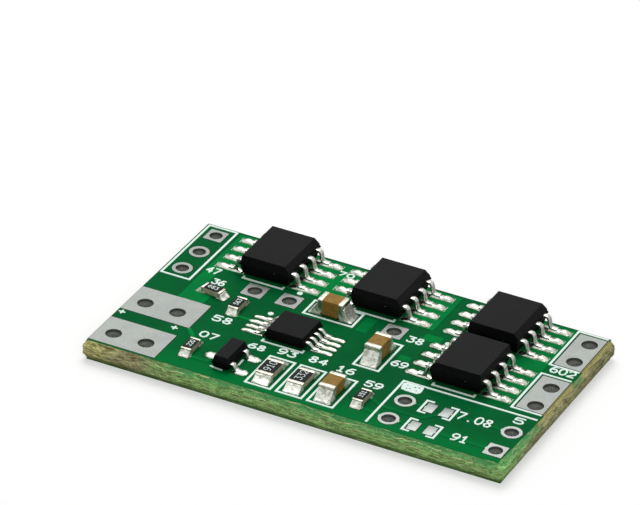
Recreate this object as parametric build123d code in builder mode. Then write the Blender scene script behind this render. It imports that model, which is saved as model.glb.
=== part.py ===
"""Solar charge controller board: a bare two-layer circuit board with its parts soldered on top.

Millimetres, +Z up. The origin is at the centre of the board's underside, +X runs along the long
edge towards the battery terminals and +Y towards the edge that the large packages stand along.
Places on the board are measured from its front left corner and moved to the origin by seat().
"""

import os
from math import atan2, degrees

from build123d import *

os.makedirs("parts", exist_ok=True)

# Laminate, with scored and broken edges
core_thickness = 1.5
score_depth = 0.45
score_run = 0.3
skew_reach = 0.28
skew_length = 6.6

# Copper, tin, mask and print
foil_thickness = 0.035
tin_thickness = 0.025
plating_thickness = 0.03
mask_thickness = 0.03
mask_cover = 0.02
mask_clearance = 0.05
mask_side = 0.04
underside_skin = 0.05
print_thickness = 0.02
print_line = 0.16

# Plated holes
hole_pitch = 2.54
edge_to_hole = 1.27
header_hole_diameter = 0.95
option_hole_diameter = 1.0
test_hole_diameter = 1.05
terminal_hole_diameter = 1.15
round_land_diameter = 1.5
square_land_side = 1.42
test_land_side = 1.6
header_holes = 3
terminal_holes = 2
ring_sides = 18
drill_sides = 8

# Panel terminals, at the left edge
panel_land_depth = 3.3
panel_positive_length = 5.45
panel_negative_length = 5.2
panel_land_gap = 1.3
panel_front_gap = 0.15
panel_hole_setback = 1.4

# Battery terminals, at the right edge
battery_land_width = 2.05
battery_land_length = 4.5
battery_land_gap = 1.7
battery_back_gap = 0.38
battery_edge_gap = 0.13
battery_hole_inset = 1.16
battery_positive_setback = 1.03
battery_negative_setback = 1.2

# Large eight-lead packages
mosfet_body_width = 3.9
mosfet_body_length = 4.9
mosfet_height = 1.6
mosfet_standoff = 0.12
mosfet_parting = 0.95
mosfet_draft = 0.13
mosfet_bevel = 0.28
mosfet_bevel_drop = 0.35
mosfet_lead_pitch = 1.27
mosfet_lead_width = 0.42
mosfet_lead_thickness = 0.2
mosfet_shoulder = 0.32
mosfet_lean = 0.2
mosfet_toe_span = 6.0
mosfet_pad_span = 8.0
mosfet_pad_length = 2.2
mosfet_pad_width = 0.6
leads_per_side = 4
outer_lead = (leads_per_side - 1) / 2

# Controller package
controller_body_width = 3.0
controller_body_length = 3.0
controller_height = 0.88
controller_standoff = 0.08
controller_parting = 0.42
controller_draft = 0.12
controller_lead_pitch = 0.65
controller_lead_width = 0.3
controller_lead_thickness = 0.15
controller_shoulder = 0.22
controller_lean = 0.32
controller_toe_span = 4.9
controller_pad_span = 7.05
controller_pad_length = 1.75
controller_pad_width = 0.38

# Three-lead regulator
regulator_body_width = 1.3
regulator_body_length = 2.9
regulator_height = 1.0
regulator_standoff = 0.08
regulator_parting = 0.45
regulator_draft = 0.14
regulator_lead_spread = 1.9
regulator_lead_width = 0.42
regulator_lead_thickness = 0.14
regulator_shoulder = 0.18
regulator_lean = 0.2
regulator_toe_span = 2.5
regulator_pad_span = 3.75
regulator_pad_length = 1.1
regulator_pad_width = 0.75
regulator_leads_right = 2

# Leads in their bodies
lead_embed = 0.35
lead_bend = 0.09
toe_solder_height = 0.8
toe_solder_bend = 0.35
land_corner_share = 0.25

# Chip resistors and capacitors
small_chip_length = 1.6
small_chip_width = 0.8
small_resistor_height = 0.45
large_chip_length = 2.0
large_chip_width = 1.25
large_resistor_height = 0.5
low_capacitor_height = 0.95
tall_capacitor_height = 1.25
small_cap_length = 0.2
large_cap_length = 0.3
capacitor_cap_length = 0.42
cap_thickness = 0.05
glaze_thickness = 0.04
glaze_margin = 0.06
cap_bevel = 0.06
small_pad_length = 0.75
small_pad_width = 0.85
large_pad_length = 1.05
large_pad_width = 1.3
chip_solder_height = 0.75
solder_hollow = 0.4
solder_foot = 0.03
pad_underlap = 0.35
resistor_1_skew = -8

# Gaps along the back row, from left to right
header_frame_reach = 1.25
header_to_mosfet = 0.62
mosfet_1_to_2 = 0.68
mosfet_2_to_3 = 1.03
mosfet_to_battery = 0.52

# Gaps along the right side, from front to back
option_to_frame = 2.2
frame_to_mosfet = 0.75
mosfet_row_gap = 1.1
mosfet_back_gap = 0.3

# Gaps in the middle row
mosfet_to_test_land = 0.55
test_land_step = 2.7
test_to_capacitor = 0.95
capacitor_to_test = 2.2
test_to_sense = 0.62
capacitor_to_controller = 1.8
test_to_capacitor_2 = 0.8
capacitor_2_shift = 0.38
header_to_resistor_1 = 1.05
panel_to_resistor_1 = 1.2
controller_shift = 1.13

# Gaps along the front row, from left to right
panel_to_resistor_4 = 0.95
resistor_4_to_regulator = 0.72
regulator_to_resistor_5 = 0.6
chip_frame_gap = 0.3
capacitor_to_resistor_3 = 0.8
resistor_3_to_frame = 1.0
frame_to_option = 1.15

# Solder-joined option lands between the option holes
jumper_land_width = 0.72
jumper_land_length = 1.1
jumper_land_gap = 0.5
option_to_jumper = 1.15

# Copper areas and traces
pour_edge_gap = 0.3
pour_margin = 0.12
pour_neck = 0.6
trace_width = 0.25

# Printed frames
chip_frame_end_gap = 0.115
chip_frame_side_gap = 0.225
battery_frame_gap = 0.2
dot_diameter = 0.42
dot_gap = 0.15
controller_dot_gap = 0.37
dot_sides = 12
tick_length = 0.3
body_line_reach = 1.55
bracket_gap = 0.2
bracket_leg = 0.55
print_edge_gap = 0.05
corner_line_gap = 0.22

# Ways that a part stands
STANDING = (Align.CENTER, Align.CENTER, Align.MIN)
ALONG = 0
ACROSS = 90
REVERSED = 180

# Levels
core_bottom = underside_skin
core_top = core_bottom + core_thickness
foil_top = core_top + foil_thickness
land_top = foil_top + tin_thickness
mask_top = core_top + mask_thickness
raised_mask_top = foil_top + mask_cover
print_top = raised_mask_top + print_thickness

# Places along the board
header_x = edge_to_hole
header_frame_right = header_x + header_frame_reach
mosfet_1_x = header_frame_right + header_to_mosfet + mosfet_pad_span / 2
mosfet_2_x = mosfet_1_x + mosfet_pad_span + mosfet_1_to_2
mosfet_3_x = mosfet_2_x + mosfet_pad_span + mosfet_2_to_3
battery_left = mosfet_3_x + mosfet_pad_span / 2 + mosfet_to_battery
board_length = battery_left + battery_land_width + battery_edge_gap
battery_hole_x = battery_left + battery_hole_inset

# Places across the board
option_row_y = edge_to_hole
option_back_row_y = option_row_y + hole_pitch
option_frame_y = option_back_row_y + option_to_frame
mosfet_4_y = option_frame_y + frame_to_mosfet + mosfet_body_length / 2
mosfet_row_y = mosfet_4_y + mosfet_body_length + mosfet_row_gap
board_width = mosfet_row_y + mosfet_body_length / 2 + mosfet_back_gap
header_y = board_width - edge_to_hole
panel_negative_front = panel_front_gap
panel_positive_front = panel_negative_front + panel_land_depth + panel_land_gap
panel_positive_back = panel_positive_front + panel_land_depth
battery_positive_back = board_width - battery_back_gap
battery_negative_back = battery_positive_back - battery_land_length - battery_land_gap

# Reach of the chips' lands and of the frames round them
large_pad_span = large_chip_length + 2 * (large_pad_length - pad_underlap)
small_pad_span = small_chip_length + 2 * (small_pad_length - pad_underlap)
chip_frame_length = large_pad_span + 2 * (chip_frame_end_gap + print_line)
chip_frame_width = large_pad_width + 2 * (chip_frame_side_gap + print_line)

# Places of the middle row
test_land_y = mosfet_row_y - mosfet_body_length / 2 - mosfet_to_test_land - test_land_side / 2
test_1_x = mosfet_1_x
test_2_x = test_1_x + test_land_step
capacitor_1_x = test_2_x + test_land_side / 2 + test_to_capacitor + large_pad_span / 2
test_3_x = capacitor_1_x + large_pad_span / 2 + capacitor_to_test + test_land_side / 2
resistor_6_y = test_land_y - test_land_side / 2 - test_to_sense - small_pad_span / 2
controller_back = test_land_y - large_chip_width / 2 - capacitor_to_controller
controller_y = controller_back - controller_body_length / 2
controller_x = capacitor_1_x - controller_shift
capacitor_2_y = test_land_y - test_land_side / 2 - test_to_capacitor_2 - large_pad_span / 2
capacitor_2_x = test_3_x + capacitor_2_shift
resistor_1_x = header_frame_right + header_to_resistor_1 + small_pad_span / 2
resistor_1_y = panel_positive_back + panel_to_resistor_1 + small_chip_width / 2

# Places of the front row
front_row_y = 2.42
resistor_4_x = panel_positive_length + panel_to_resistor_4 + small_pad_width / 2
regulator_x = resistor_4_x + small_pad_width / 2 + resistor_4_to_regulator + regulator_pad_span / 2
resistor_5_x = regulator_x + regulator_pad_span / 2 + regulator_to_resistor_5 + large_pad_width / 2
chip_pitch = chip_frame_width + chip_frame_gap
resistor_2_x = resistor_5_x + chip_pitch
capacitor_3_x = resistor_2_x + chip_pitch
resistor_3_x = capacitor_3_x + chip_frame_width / 2 + capacitor_to_resistor_3 + small_pad_width / 2
option_frame_x = resistor_3_x + small_pad_width / 2 + resistor_3_to_frame
option_hole_x = option_frame_x + frame_to_option
jumper_left_x = option_hole_x + round_land_diameter / 2 + option_to_jumper
jumper_right_x = jumper_left_x + jumper_land_width + jumper_land_gap

# Hole centres
header_points = [(header_x, header_y - row * hole_pitch) for row in range(header_holes)]
test_points = [(test_1_x, test_land_y), (test_2_x, test_land_y), (test_3_x, test_land_y)]
option_points = [
    (option_hole_x, option_row_y),
    (option_hole_x, option_back_row_y),
    (battery_hole_x, option_back_row_y),
    (battery_hole_x, option_row_y),
]
jumper_points = [
    (x, y) for x in (jumper_left_x, jumper_right_x) for y in (option_row_y, option_back_row_y)
]
panel_hole_columns = [edge_to_hole + column * hole_pitch for column in range(terminal_holes)]
dot_radius = dot_diameter / 2
mosfet_land_middle = (mosfet_pad_span - mosfet_pad_length) / 2
mosfet_dot_reach = outer_lead * mosfet_lead_pitch + mosfet_pad_width / 2 + dot_gap + dot_radius
controller_outer_land = outer_lead * controller_lead_pitch + controller_pad_width / 2
controller_dot_reach = controller_outer_land + controller_dot_gap + dot_radius
controller_dot_x = controller_x - (controller_pad_span - controller_pad_length) / 2
dot_points = [
    (mosfet_1_x + mosfet_land_middle, mosfet_row_y - mosfet_dot_reach),
    (mosfet_3_x - mosfet_land_middle, mosfet_4_y + mosfet_dot_reach),
    (controller_dot_x, controller_y + controller_dot_reach),
]


def seat(x, y, height=0.0, turn=0.0):
    """Plane at a place on the board, turned about the vertical."""
    return Plane(origin=(x - board_length / 2, y - board_width / 2, height)).rotated((0, 0, turn))


def board_location(x, y):
    """Location of a place on the board, in a flat sketch about the origin."""
    return Location((x - board_length / 2, y - board_width / 2))


def finish(piece, name):
    """Label a finished piece and write it out."""
    piece.part.label = name
    export_step(piece.part, f"parts/{name}.step")


# Laminate
all_holes = [
    *[(point, header_hole_diameter) for point in header_points],
    *[(point, test_hole_diameter) for point in test_points],
    *[(point, option_hole_diameter) for point in option_points],
    *[
        ((x, front + panel_hole_setback), terminal_hole_diameter)
        for x in panel_hole_columns
        for front in (panel_negative_front, panel_positive_front)
    ],
    *[
        ((battery_hole_x, back - setback - row * hole_pitch), terminal_hole_diameter)
        for back, setback in (
            (battery_positive_back, battery_positive_setback),
            (battery_negative_back, battery_negative_setback),
        )
        for row in range(terminal_holes)
    ],
]
web_height = core_thickness - 2 * score_depth
score_slope = degrees(atan2(score_run, score_depth))


def drill_outline(diameter):
    """Drilled hole: flat-sided, because the plating hides its wall."""
    with BuildSketch() as outline:
        RegularPolygon(diameter / 2 + plating_thickness, drill_sides, major_radius=False)
    return outline.sketch


def skewed_score():
    """Plane of the score line's upper side, where it runs askew towards the front right corner."""
    right, front = board_length / 2, -board_width / 2
    near_end = Vector(right - skew_reach, front, core_top)
    far_end = Vector(right, front + skew_length, core_top)
    foot = Vector(right + score_run, front - score_run, core_top - score_depth)
    along = far_end - near_end
    return Plane(origin=near_end, x_dir=along, z_dir=(foot - near_end).cross(along))


with BuildPart() as laminate:
    with BuildSketch(Plane.XY.offset(core_bottom + score_depth)) as web_outline:
        Rectangle(board_length + 2 * score_run, board_width + 2 * score_run)
    extrude(amount=web_height)
    with BuildSketch(Plane.XY.offset(core_top - score_depth)) as upper_outline:
        add(web_outline.sketch_local)
    extrude(amount=score_depth, taper=score_slope)
    with BuildSketch(Plane.XY.offset(core_bottom + score_depth)) as lower_outline:
        add(web_outline.sketch_local)
    extrude(amount=-score_depth, taper=score_slope)
    split(bisect_by=skewed_score(), keep=Keep.BOTTOM)
    top_face = laminate.faces().sort_by(Axis.Z)[-1]
    under_face = laminate.faces().sort_by(Axis.Z)[0]
    with BuildSketch(Plane.XY.offset(core_bottom)) as drill_pattern:
        for (x, y), diameter in all_holes:
            with Locations(board_location(x, y)):
                add(drill_outline(diameter))
    extrude(amount=core_thickness, mode=Mode.SUBTRACT)
finish(laminate, "laminate")


# Lands with plated holes
def round_outline(diameter):
    """Round land, with enough flat sides to look round."""
    with BuildSketch() as outline:
        RegularPolygon(diameter / 2, ring_sides)
    return outline.sketch


def box_outline(length, depth, centre=(0, 0)):
    """Rectangular land about a centre."""
    with BuildSketch() as outline:
        with Locations(centre):
            Rectangle(length, depth)
    return outline.sketch


def plated_land(place, outline, holes, hole_diameter):
    """Tinned land on each face, joined through its plated holes; one piece of copper."""
    with BuildPart(seat(*place)) as land:
        with BuildSketch(seat(*place)) as lower_land:
            add(outline)
        extrude(amount=underside_skin)
        with BuildSketch(seat(*place, core_top)) as upper_land:
            add(outline)
        extrude(amount=land_top - core_top)
        with BuildSketch(seat(*place)) as barrels:
            with Locations(*holes):
                add(drill_outline(hole_diameter))
        extrude(amount=land_top)
        with Locations(*holes):
            Hole(radius=hole_diameter / 2)
    return land


def panel_terminal(front, length):
    """Panel terminal land, from the left edge inwards, with two holes."""
    outline = box_outline(length, panel_land_depth, (length / 2, panel_land_depth / 2))
    holes = [(x, panel_hole_setback) for x in panel_hole_columns]
    return plated_land((0, front), outline, holes, terminal_hole_diameter)


def battery_terminal(back, setback):
    """Battery terminal land, near the right edge, with two holes."""
    centre = (battery_land_width / 2, -battery_land_length / 2)
    outline = box_outline(battery_land_width, battery_land_length, centre)
    hole_x = battery_hole_x - battery_left
    holes = [(hole_x, -setback - row * hole_pitch) for row in range(terminal_holes)]
    return plated_land((battery_left, back), outline, holes, terminal_hole_diameter)


def land_group(points, outlines, hole_diameter):
    """Several single-hole lands that belong together."""
    with BuildPart() as group:
        for point, outline in zip(points, outlines):
            add(plated_land(point, outline, [(0, 0)], hole_diameter).part)
    return group


round_land = round_outline(round_land_diameter)
square_land = box_outline(square_land_side, square_land_side)
test_land = box_outline(test_land_side, test_land_side)
header_outlines = [square_land] + [round_land] * (header_holes - 1)
option_outlines = [round_land, round_land, round_land, square_land]

finish(panel_terminal(panel_positive_front, panel_positive_length), "panel_terminal_positive")
finish(panel_terminal(panel_negative_front, panel_negative_length), "panel_terminal_negative")
finish(battery_terminal(battery_positive_back, battery_positive_setback), "battery_terminal_positive")
finish(battery_terminal(battery_negative_back, battery_negative_setback), "battery_terminal_negative")
finish(land_group(header_points, header_outlines, header_hole_diameter), "header_lands")
finish(land_group(test_points, [test_land] * len(test_points), test_hole_diameter), "test_lands")
finish(land_group(option_points, option_outlines, option_hole_diameter), "option_lands")

# Bare lands that wait for a solder bridge
with BuildPart() as jumper_lands:
    with BuildSketch(Plane.XY.offset(core_top)) as jumper_outline:
        with Locations(*[board_location(x, y) for x, y in jumper_points]):
            Rectangle(jumper_land_width, jumper_land_length)
    extrude(amount=land_top - core_top)
finish(jumper_lands, "jumper_lands")


# Gull-wing leads and their solder joints, shared by all the moulded packages
class Package:
    """Sizes of a moulded package and of its leads, lands and solder."""

    def __init__(self, body, levels, lead, span, pad):
        self.width, self.length = body
        self.height, self.standoff, self.parting, self.draft = levels
        self.lead_width, self.lead_thickness, self.shoulder, self.lean = lead
        self.toe_span, self.pad_span = span
        self.pad_length, self.pad_width = pad

    def lead(self, side):
        """One lead: out of the body, down beside it, and out to a flat foot; side is 1 or -1."""
        half_body = self.width / 2
        foot_level = self.lead_thickness / 2
        shoulder_x = half_body + self.shoulder
        path_points = [
            (half_body - lead_embed, self.parting),
            (shoulder_x - lead_bend, self.parting),
            (shoulder_x, self.parting - lead_bend),
            (shoulder_x + self.lean, foot_level),
            (self.toe_span / 2, foot_level),
        ]
        with BuildPart() as piece:
            with BuildSketch(Plane.XZ) as profile:
                with BuildLine() as path:
                    Polyline(*[(side * x, level) for x, level in path_points])
                trace(line_width=self.lead_thickness)
            extrude(amount=self.lead_width / 2, both=True)
        return piece.part

    def joint(self, side):
        """Solder on the copper land: a thin coat that rises in a wedge to the lead's toe."""
        coat = land_top - foil_top
        pad_end = self.pad_span / 2
        toe = self.toe_span / 2
        climb = self.lead_thickness * toe_solder_height
        corner = self.pad_width * land_corner_share
        wedge_points = [
            (toe, 0),
            (toe, climb),
            (toe + (pad_end - toe) * toe_solder_bend, climb * solder_hollow),
            (pad_end - corner, 0),
        ]
        with BuildPart() as piece:
            with BuildSketch(Plane.XY.offset(-coat)) as outline:
                with Locations((side * (pad_end - self.pad_length / 2), 0)):
                    land = Rectangle(self.pad_length, self.pad_width)
                chamfer(land.vertices().group_by(Axis.X)[-1 if side > 0 else 0], corner)
            extrude(amount=coat)
            with BuildSketch(Plane.XZ) as wedge:
                with BuildLine() as wedge_line:
                    Polyline(*[(side * x, z) for x, z in wedge_points], close=True)
                make_face()
            extrude(amount=self.pad_width / 2 - corner, both=True)
        return piece.part

    def body(self, bevel=0.0, bevel_drop=0.0):
        """Moulded body with draft above and below the parting line and a bevel on its right side."""
        taper = degrees(atan2(self.draft, self.height - self.parting))
        with BuildPart() as piece:
            for amount in (self.height - self.parting, self.standoff - self.parting):
                with BuildSketch(Plane.XY.offset(self.parting)) as parting_outline:
                    Rectangle(self.width, self.length)
                extrude(amount=amount, taper=taper)
            if bevel:
                top_edge = piece.edges().group_by(Axis.Z)[-1].sort_by(Axis.X)[-1]
                top_face = piece.faces().sort_by(Axis.Z)[-1]
                chamfer(top_edge, length=bevel, length2=bevel_drop, reference=top_face)
        return piece.part


def place_package(name, package, place, rows, body_shape, body_turn=0.0):
    """Stand a package on its lands; rows gives the places of the leads on each side."""
    ground = seat(*place, land_top)
    with BuildPart(ground) as leads:
        for side, spots in rows:
            with Locations(*[(0, spot) for spot in spots]):
                add(package.lead(side))
    with BuildPart(ground) as solder:
        for side, spots in rows:
            with Locations(*[(0, spot) for spot in spots]):
                add(package.joint(side))
    with BuildPart(ground) as body:
        add(body_shape, rotation=(0, 0, body_turn))
    with BuildPart() as moulding:
        add(body.part)
        add(leads.part, mode=Mode.SUBTRACT)
    finish(moulding, f"{name}_body")
    finish(leads, f"{name}_leads")
    finish(solder, f"{name}_solder")


def lead_spots(pitch, count):
    """Places of a row of leads about the package's middle."""
    return [(index - (count - 1) / 2) * pitch for index in range(count)]


mosfet = Package(
    (mosfet_body_width, mosfet_body_length),
    (mosfet_height, mosfet_standoff, mosfet_parting, mosfet_draft),
    (mosfet_lead_width, mosfet_lead_thickness, mosfet_shoulder, mosfet_lean),
    (mosfet_toe_span, mosfet_pad_span),
    (mosfet_pad_length, mosfet_pad_width),
)
mosfet_body = mosfet.body(mosfet_bevel, mosfet_bevel_drop)
mosfet_spots = lead_spots(mosfet_lead_pitch, leads_per_side)
mosfet_places = [
    (mosfet_1_x, mosfet_row_y, ALONG),
    (mosfet_2_x, mosfet_row_y, ALONG),
    (mosfet_3_x, mosfet_row_y, ALONG),
    (mosfet_3_x, mosfet_4_y, REVERSED),
]
for number, (x, y, turn) in enumerate(mosfet_places, start=1):
    both_sides = [(-1, mosfet_spots), (1, mosfet_spots)]
    place_package(f"mosfet_{number}", mosfet, (x, y), both_sides, mosfet_body, turn)

controller = Package(
    (controller_body_width, controller_body_length),
    (controller_height, controller_standoff, controller_parting, controller_draft),
    (controller_lead_width, controller_lead_thickness, controller_shoulder, controller_lean),
    (controller_toe_span, controller_pad_span),
    (controller_pad_length, controller_pad_width),
)
controller_spots = lead_spots(controller_lead_pitch, leads_per_side)
place_package(
    "controller",
    controller,
    (controller_x, controller_y),
    [(-1, controller_spots), (1, controller_spots)],
    controller.body(),
)

regulator = Package(
    (regulator_body_width, regulator_body_length),
    (regulator_height, regulator_standoff, regulator_parting, regulator_draft),
    (regulator_lead_width, regulator_lead_thickness, regulator_shoulder, regulator_lean),
    (regulator_toe_span, regulator_pad_span),
    (regulator_pad_length, regulator_pad_width),
)
regulator_spots = lead_spots(regulator_lead_spread, regulator_leads_right)
regulator_rows = [(-1, [0]), (1, regulator_spots)]
place_package("regulator", regulator, (regulator_x, front_row_y), regulator_rows, regulator.body())


# Chip resistors and capacitors, each along its own X axis before it is turned
class Chip:
    """Sizes of a chip part and of its two lands."""

    def __init__(self, body, cap_length, side_wrap, pad):
        self.length, self.width, self.height = body
        self.cap_length = cap_length
        self.side_wrap = side_wrap
        self.pad_length, self.pad_width = pad
        self.pad_offset = self.length / 2 - pad_underlap + self.pad_length / 2

    def ceramic(self):
        """Ceramic block, let into the end caps."""
        with BuildPart() as piece:
            with Locations((0, 0, cap_thickness)):
                Box(
                    self.length - 2 * cap_thickness,
                    self.width - 2 * self.side_wrap,
                    self.height - 2 * cap_thickness,
                    align=STANDING,
                )
        return piece.part

    def cap(self, side):
        """Tinned end cap, hollow where the ceramic enters; a capacitor's is bevelled at its end."""
        with BuildPart() as piece:
            with Locations((side * (self.length - self.cap_length) / 2, 0, 0)):
                Box(self.cap_length, self.width, self.height, align=STANDING)
            if self.side_wrap:
                outer_face = piece.faces().sort_by(Axis.X)[-1 if side > 0 else 0]
                chamfer(outer_face.edges(), cap_bevel)
            add(self.ceramic(), mode=Mode.SUBTRACT)
        return piece.part

    def glaze(self):
        """Dark glass over the resistor film, between the caps."""
        with BuildPart() as piece:
            with Locations((0, 0, self.height - cap_thickness)):
                Box(
                    self.length - 2 * self.cap_length - 2 * glaze_margin,
                    self.width - 2 * glaze_margin,
                    cap_thickness + glaze_thickness,
                    align=STANDING,
                )
        return piece.part

    def joint(self, side):
        """Solder on the copper land, which climbs the cap's end and spreads to the corners."""
        chip_end = self.length / 2
        pad_end = self.pad_offset + self.pad_length / 2
        climb = self.height * chip_solder_height
        slope_points = [
            (chip_end, 0),
            (chip_end, climb),
            ((chip_end + pad_end) / 2, climb * solder_hollow),
            (pad_end, solder_foot),
            (pad_end, 0),
        ]
        flare_start = self.width / 2 - self.side_wrap
        flare_end = self.pad_width / 2
        with BuildPart() as piece:
            with Locations((side * self.pad_offset, 0, foil_top - land_top)):
                Box(self.pad_length, self.pad_width, land_top - foil_top, align=STANDING)
            with BuildSketch(Plane.XZ) as wedge:
                with BuildLine() as wedge_line:
                    Polyline(*[(side * x, z) for x, z in slope_points], close=True)
                make_face()
            extrude(amount=self.pad_width / 2, both=True)
            with BuildSketch() as flare_cut:
                for edge in (-1, 1):
                    with BuildLine():
                        Polyline(
                            (side * chip_end, edge * flare_start),
                            (side * chip_end, edge * flare_end),
                            (side * pad_end, edge * flare_end),
                            close=True,
                        )
                    make_face()
            extrude(amount=climb, mode=Mode.SUBTRACT)
        return piece.part


small_resistor = Chip(
    (small_chip_length, small_chip_width, small_resistor_height),
    small_cap_length,
    0,
    (small_pad_length, small_pad_width),
)
large_resistor = Chip(
    (large_chip_length, large_chip_width, large_resistor_height),
    large_cap_length,
    0,
    (large_pad_length, large_pad_width),
)
low_capacitor = Chip(
    (large_chip_length, large_chip_width, low_capacitor_height),
    capacitor_cap_length,
    cap_thickness,
    (large_pad_length, large_pad_width),
)
tall_capacitor = Chip(
    (large_chip_length, large_chip_width, tall_capacitor_height),
    capacitor_cap_length,
    cap_thickness,
    (large_pad_length, large_pad_width),
)

resistor_places = [
    (small_resistor, resistor_1_x, resistor_1_y, resistor_1_skew),
    (large_resistor, resistor_2_x, front_row_y, ACROSS),
    (small_resistor, resistor_3_x, front_row_y, ACROSS),
    (small_resistor, resistor_4_x, front_row_y, ACROSS),
    (large_resistor, resistor_5_x, front_row_y, ACROSS),
    (small_resistor, test_1_x, resistor_6_y, ACROSS),
]
capacitor_places = [
    (tall_capacitor, capacitor_1_x, test_land_y, ALONG),
    (tall_capacitor, capacitor_2_x, capacitor_2_y, ACROSS),
    (low_capacitor, capacitor_3_x, front_row_y, ACROSS),
]


def place_caps(chip, ground, name):
    """Both end caps of a chip, as one node."""
    with BuildPart(ground) as caps:
        add(chip.cap(-1))
        add(chip.cap(1))
    finish(caps, name)


def place_ceramic(chip, ground, name):
    """The ceramic block of a chip."""
    with BuildPart(ground) as ceramic:
        add(chip.ceramic())
    finish(ceramic, name)


def chip_solder(places, name):
    """The lands and solder of a family of chips."""
    with BuildPart() as solder:
        for chip, x, y, turn in places:
            with BuildPart(seat(x, y, land_top, turn), mode=Mode.PRIVATE) as pair:
                add(chip.joint(-1))
                add(chip.joint(1))
            add(pair.part)
    finish(solder, name)


for number, (chip, x, y, turn) in enumerate(resistor_places, start=1):
    ground = seat(x, y, land_top, turn)
    place_ceramic(chip, ground, f"resistor_{number}_ceramic")
    place_caps(chip, ground, f"resistor_{number}_caps")
    with BuildPart(ground) as glaze:
        add(chip.glaze())
    finish(glaze, f"resistor_{number}_glaze")
for number, (chip, x, y, turn) in enumerate(capacitor_places, start=1):
    ground = seat(x, y, land_top, turn)
    place_ceramic(chip, ground, f"capacitor_{number}_ceramic")
    place_caps(chip, ground, f"capacitor_{number}_caps")
chip_solder(resistor_places, "resistor_solder")
chip_solder(capacitor_places, "capacitor_solder")


# Outlines on the top face
def package_lands(package, place, rows):
    """Boxes of a package's lands: centre, length, width and turn."""
    reach = (package.pad_span - package.pad_length) / 2
    return [
        (place[0] + side * reach, place[1] + spot, package.pad_length, package.pad_width, ALONG)
        for side, spots in rows
        for spot in spots
    ]


def chip_lands(chip, x, y, turn):
    """Boxes of a chip's two lands."""
    centres = [
        Vector(x, y) + Vector(side * chip.pad_offset, 0).rotate(Axis.Z, turn) for side in (-1, 1)
    ]
    return [(centre.X, centre.Y, chip.pad_length, chip.pad_width, turn) for centre in centres]


solder_boxes = []
for x, y, _ in mosfet_places:
    solder_boxes += package_lands(mosfet, (x, y), [(-1, mosfet_spots), (1, mosfet_spots)])
solder_boxes += package_lands(
    controller, (controller_x, controller_y), [(-1, controller_spots), (1, controller_spots)]
)
solder_boxes += package_lands(regulator, (regulator_x, front_row_y), regulator_rows)
for chip, x, y, turn in resistor_places + capacitor_places:
    solder_boxes += chip_lands(chip, x, y, turn)
panel_boxes = [
    (length / 2, front + panel_land_depth / 2, length, panel_land_depth, ALONG)
    for front, length in (
        (panel_positive_front, panel_positive_length),
        (panel_negative_front, panel_negative_length),
    )
]
battery_middle_x = battery_left + battery_land_width / 2
battery_boxes = [
    (battery_middle_x, back - battery_land_length / 2, battery_land_width, battery_land_length, ALONG)
    for back in (battery_positive_back, battery_negative_back)
]
square_boxes = [
    (*point, square_land_side, square_land_side, ALONG) for point in (header_points[0], option_points[-1])
]
test_boxes = [(*point, test_land_side, test_land_side, ALONG) for point in test_points]
plated_boxes = panel_boxes + battery_boxes + square_boxes + test_boxes
jumper_boxes = [(*point, jumper_land_width, jumper_land_length, ALONG) for point in jumper_points]
round_points = header_points[1:] + option_points[:-1]


def box_windows(boxes, margin):
    """Outlines of boxed lands, grown by a margin."""
    with BuildSketch() as windows:
        for x, y, length, width, turn in boxes:
            with Locations(board_location(x, y)):
                Rectangle(length + 2 * margin, width + 2 * margin, rotation=turn)
    return windows.sketch


def plated_windows(margin):
    """Outlines of every land with a plated hole, grown by a margin."""
    with BuildSketch() as windows:
        add(box_windows(plated_boxes, margin))
        with Locations(*[board_location(x, y) for x, y in round_points]):
            RegularPolygon(round_land_diameter / 2 + margin, ring_sides)
    return windows.sketch


with BuildSketch() as mask_windows:
    add(box_windows(solder_boxes + jumper_boxes, mask_clearance))
    add(plated_windows(mask_clearance))

# Copper under the mask, as boxes with their left, front, right and back sides
land_start = mosfet_pad_span / 2 - mosfet_pad_length - pour_margin
land_end = mosfet_pad_span / 2
row_back = board_width - pour_edge_gap
row_front = mosfet_row_y - mosfet_body_length / 2 + pour_margin
column_front = battery_negative_back - battery_land_length
header_side = header_frame_right + pour_edge_gap
pour_boxes = [
    (header_side, panel_positive_back, mosfet_1_x - land_end + pour_neck, row_back),
    (header_side, row_front, mosfet_1_x - land_start, row_back),
    (header_side, panel_positive_back, resistor_1_x, resistor_1_y),
    (mosfet_1_x + land_start, row_front, mosfet_2_x - land_start, row_back),
    (mosfet_2_x + land_start, row_front, mosfet_3_x - land_end - pour_neck, row_back),
    (mosfet_3_x + land_start, column_front, battery_left - pour_edge_gap, row_back),
]


def pour_outline(margin):
    """Outline of the copper areas, grown by a margin."""
    with BuildSketch() as outline:
        for left, front, right, back in pour_boxes:
            with Locations(board_location((left + right) / 2, (front + back) / 2)):
                Rectangle(right - left + 2 * margin, back - front + 2 * margin)
    return outline.sketch


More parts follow.
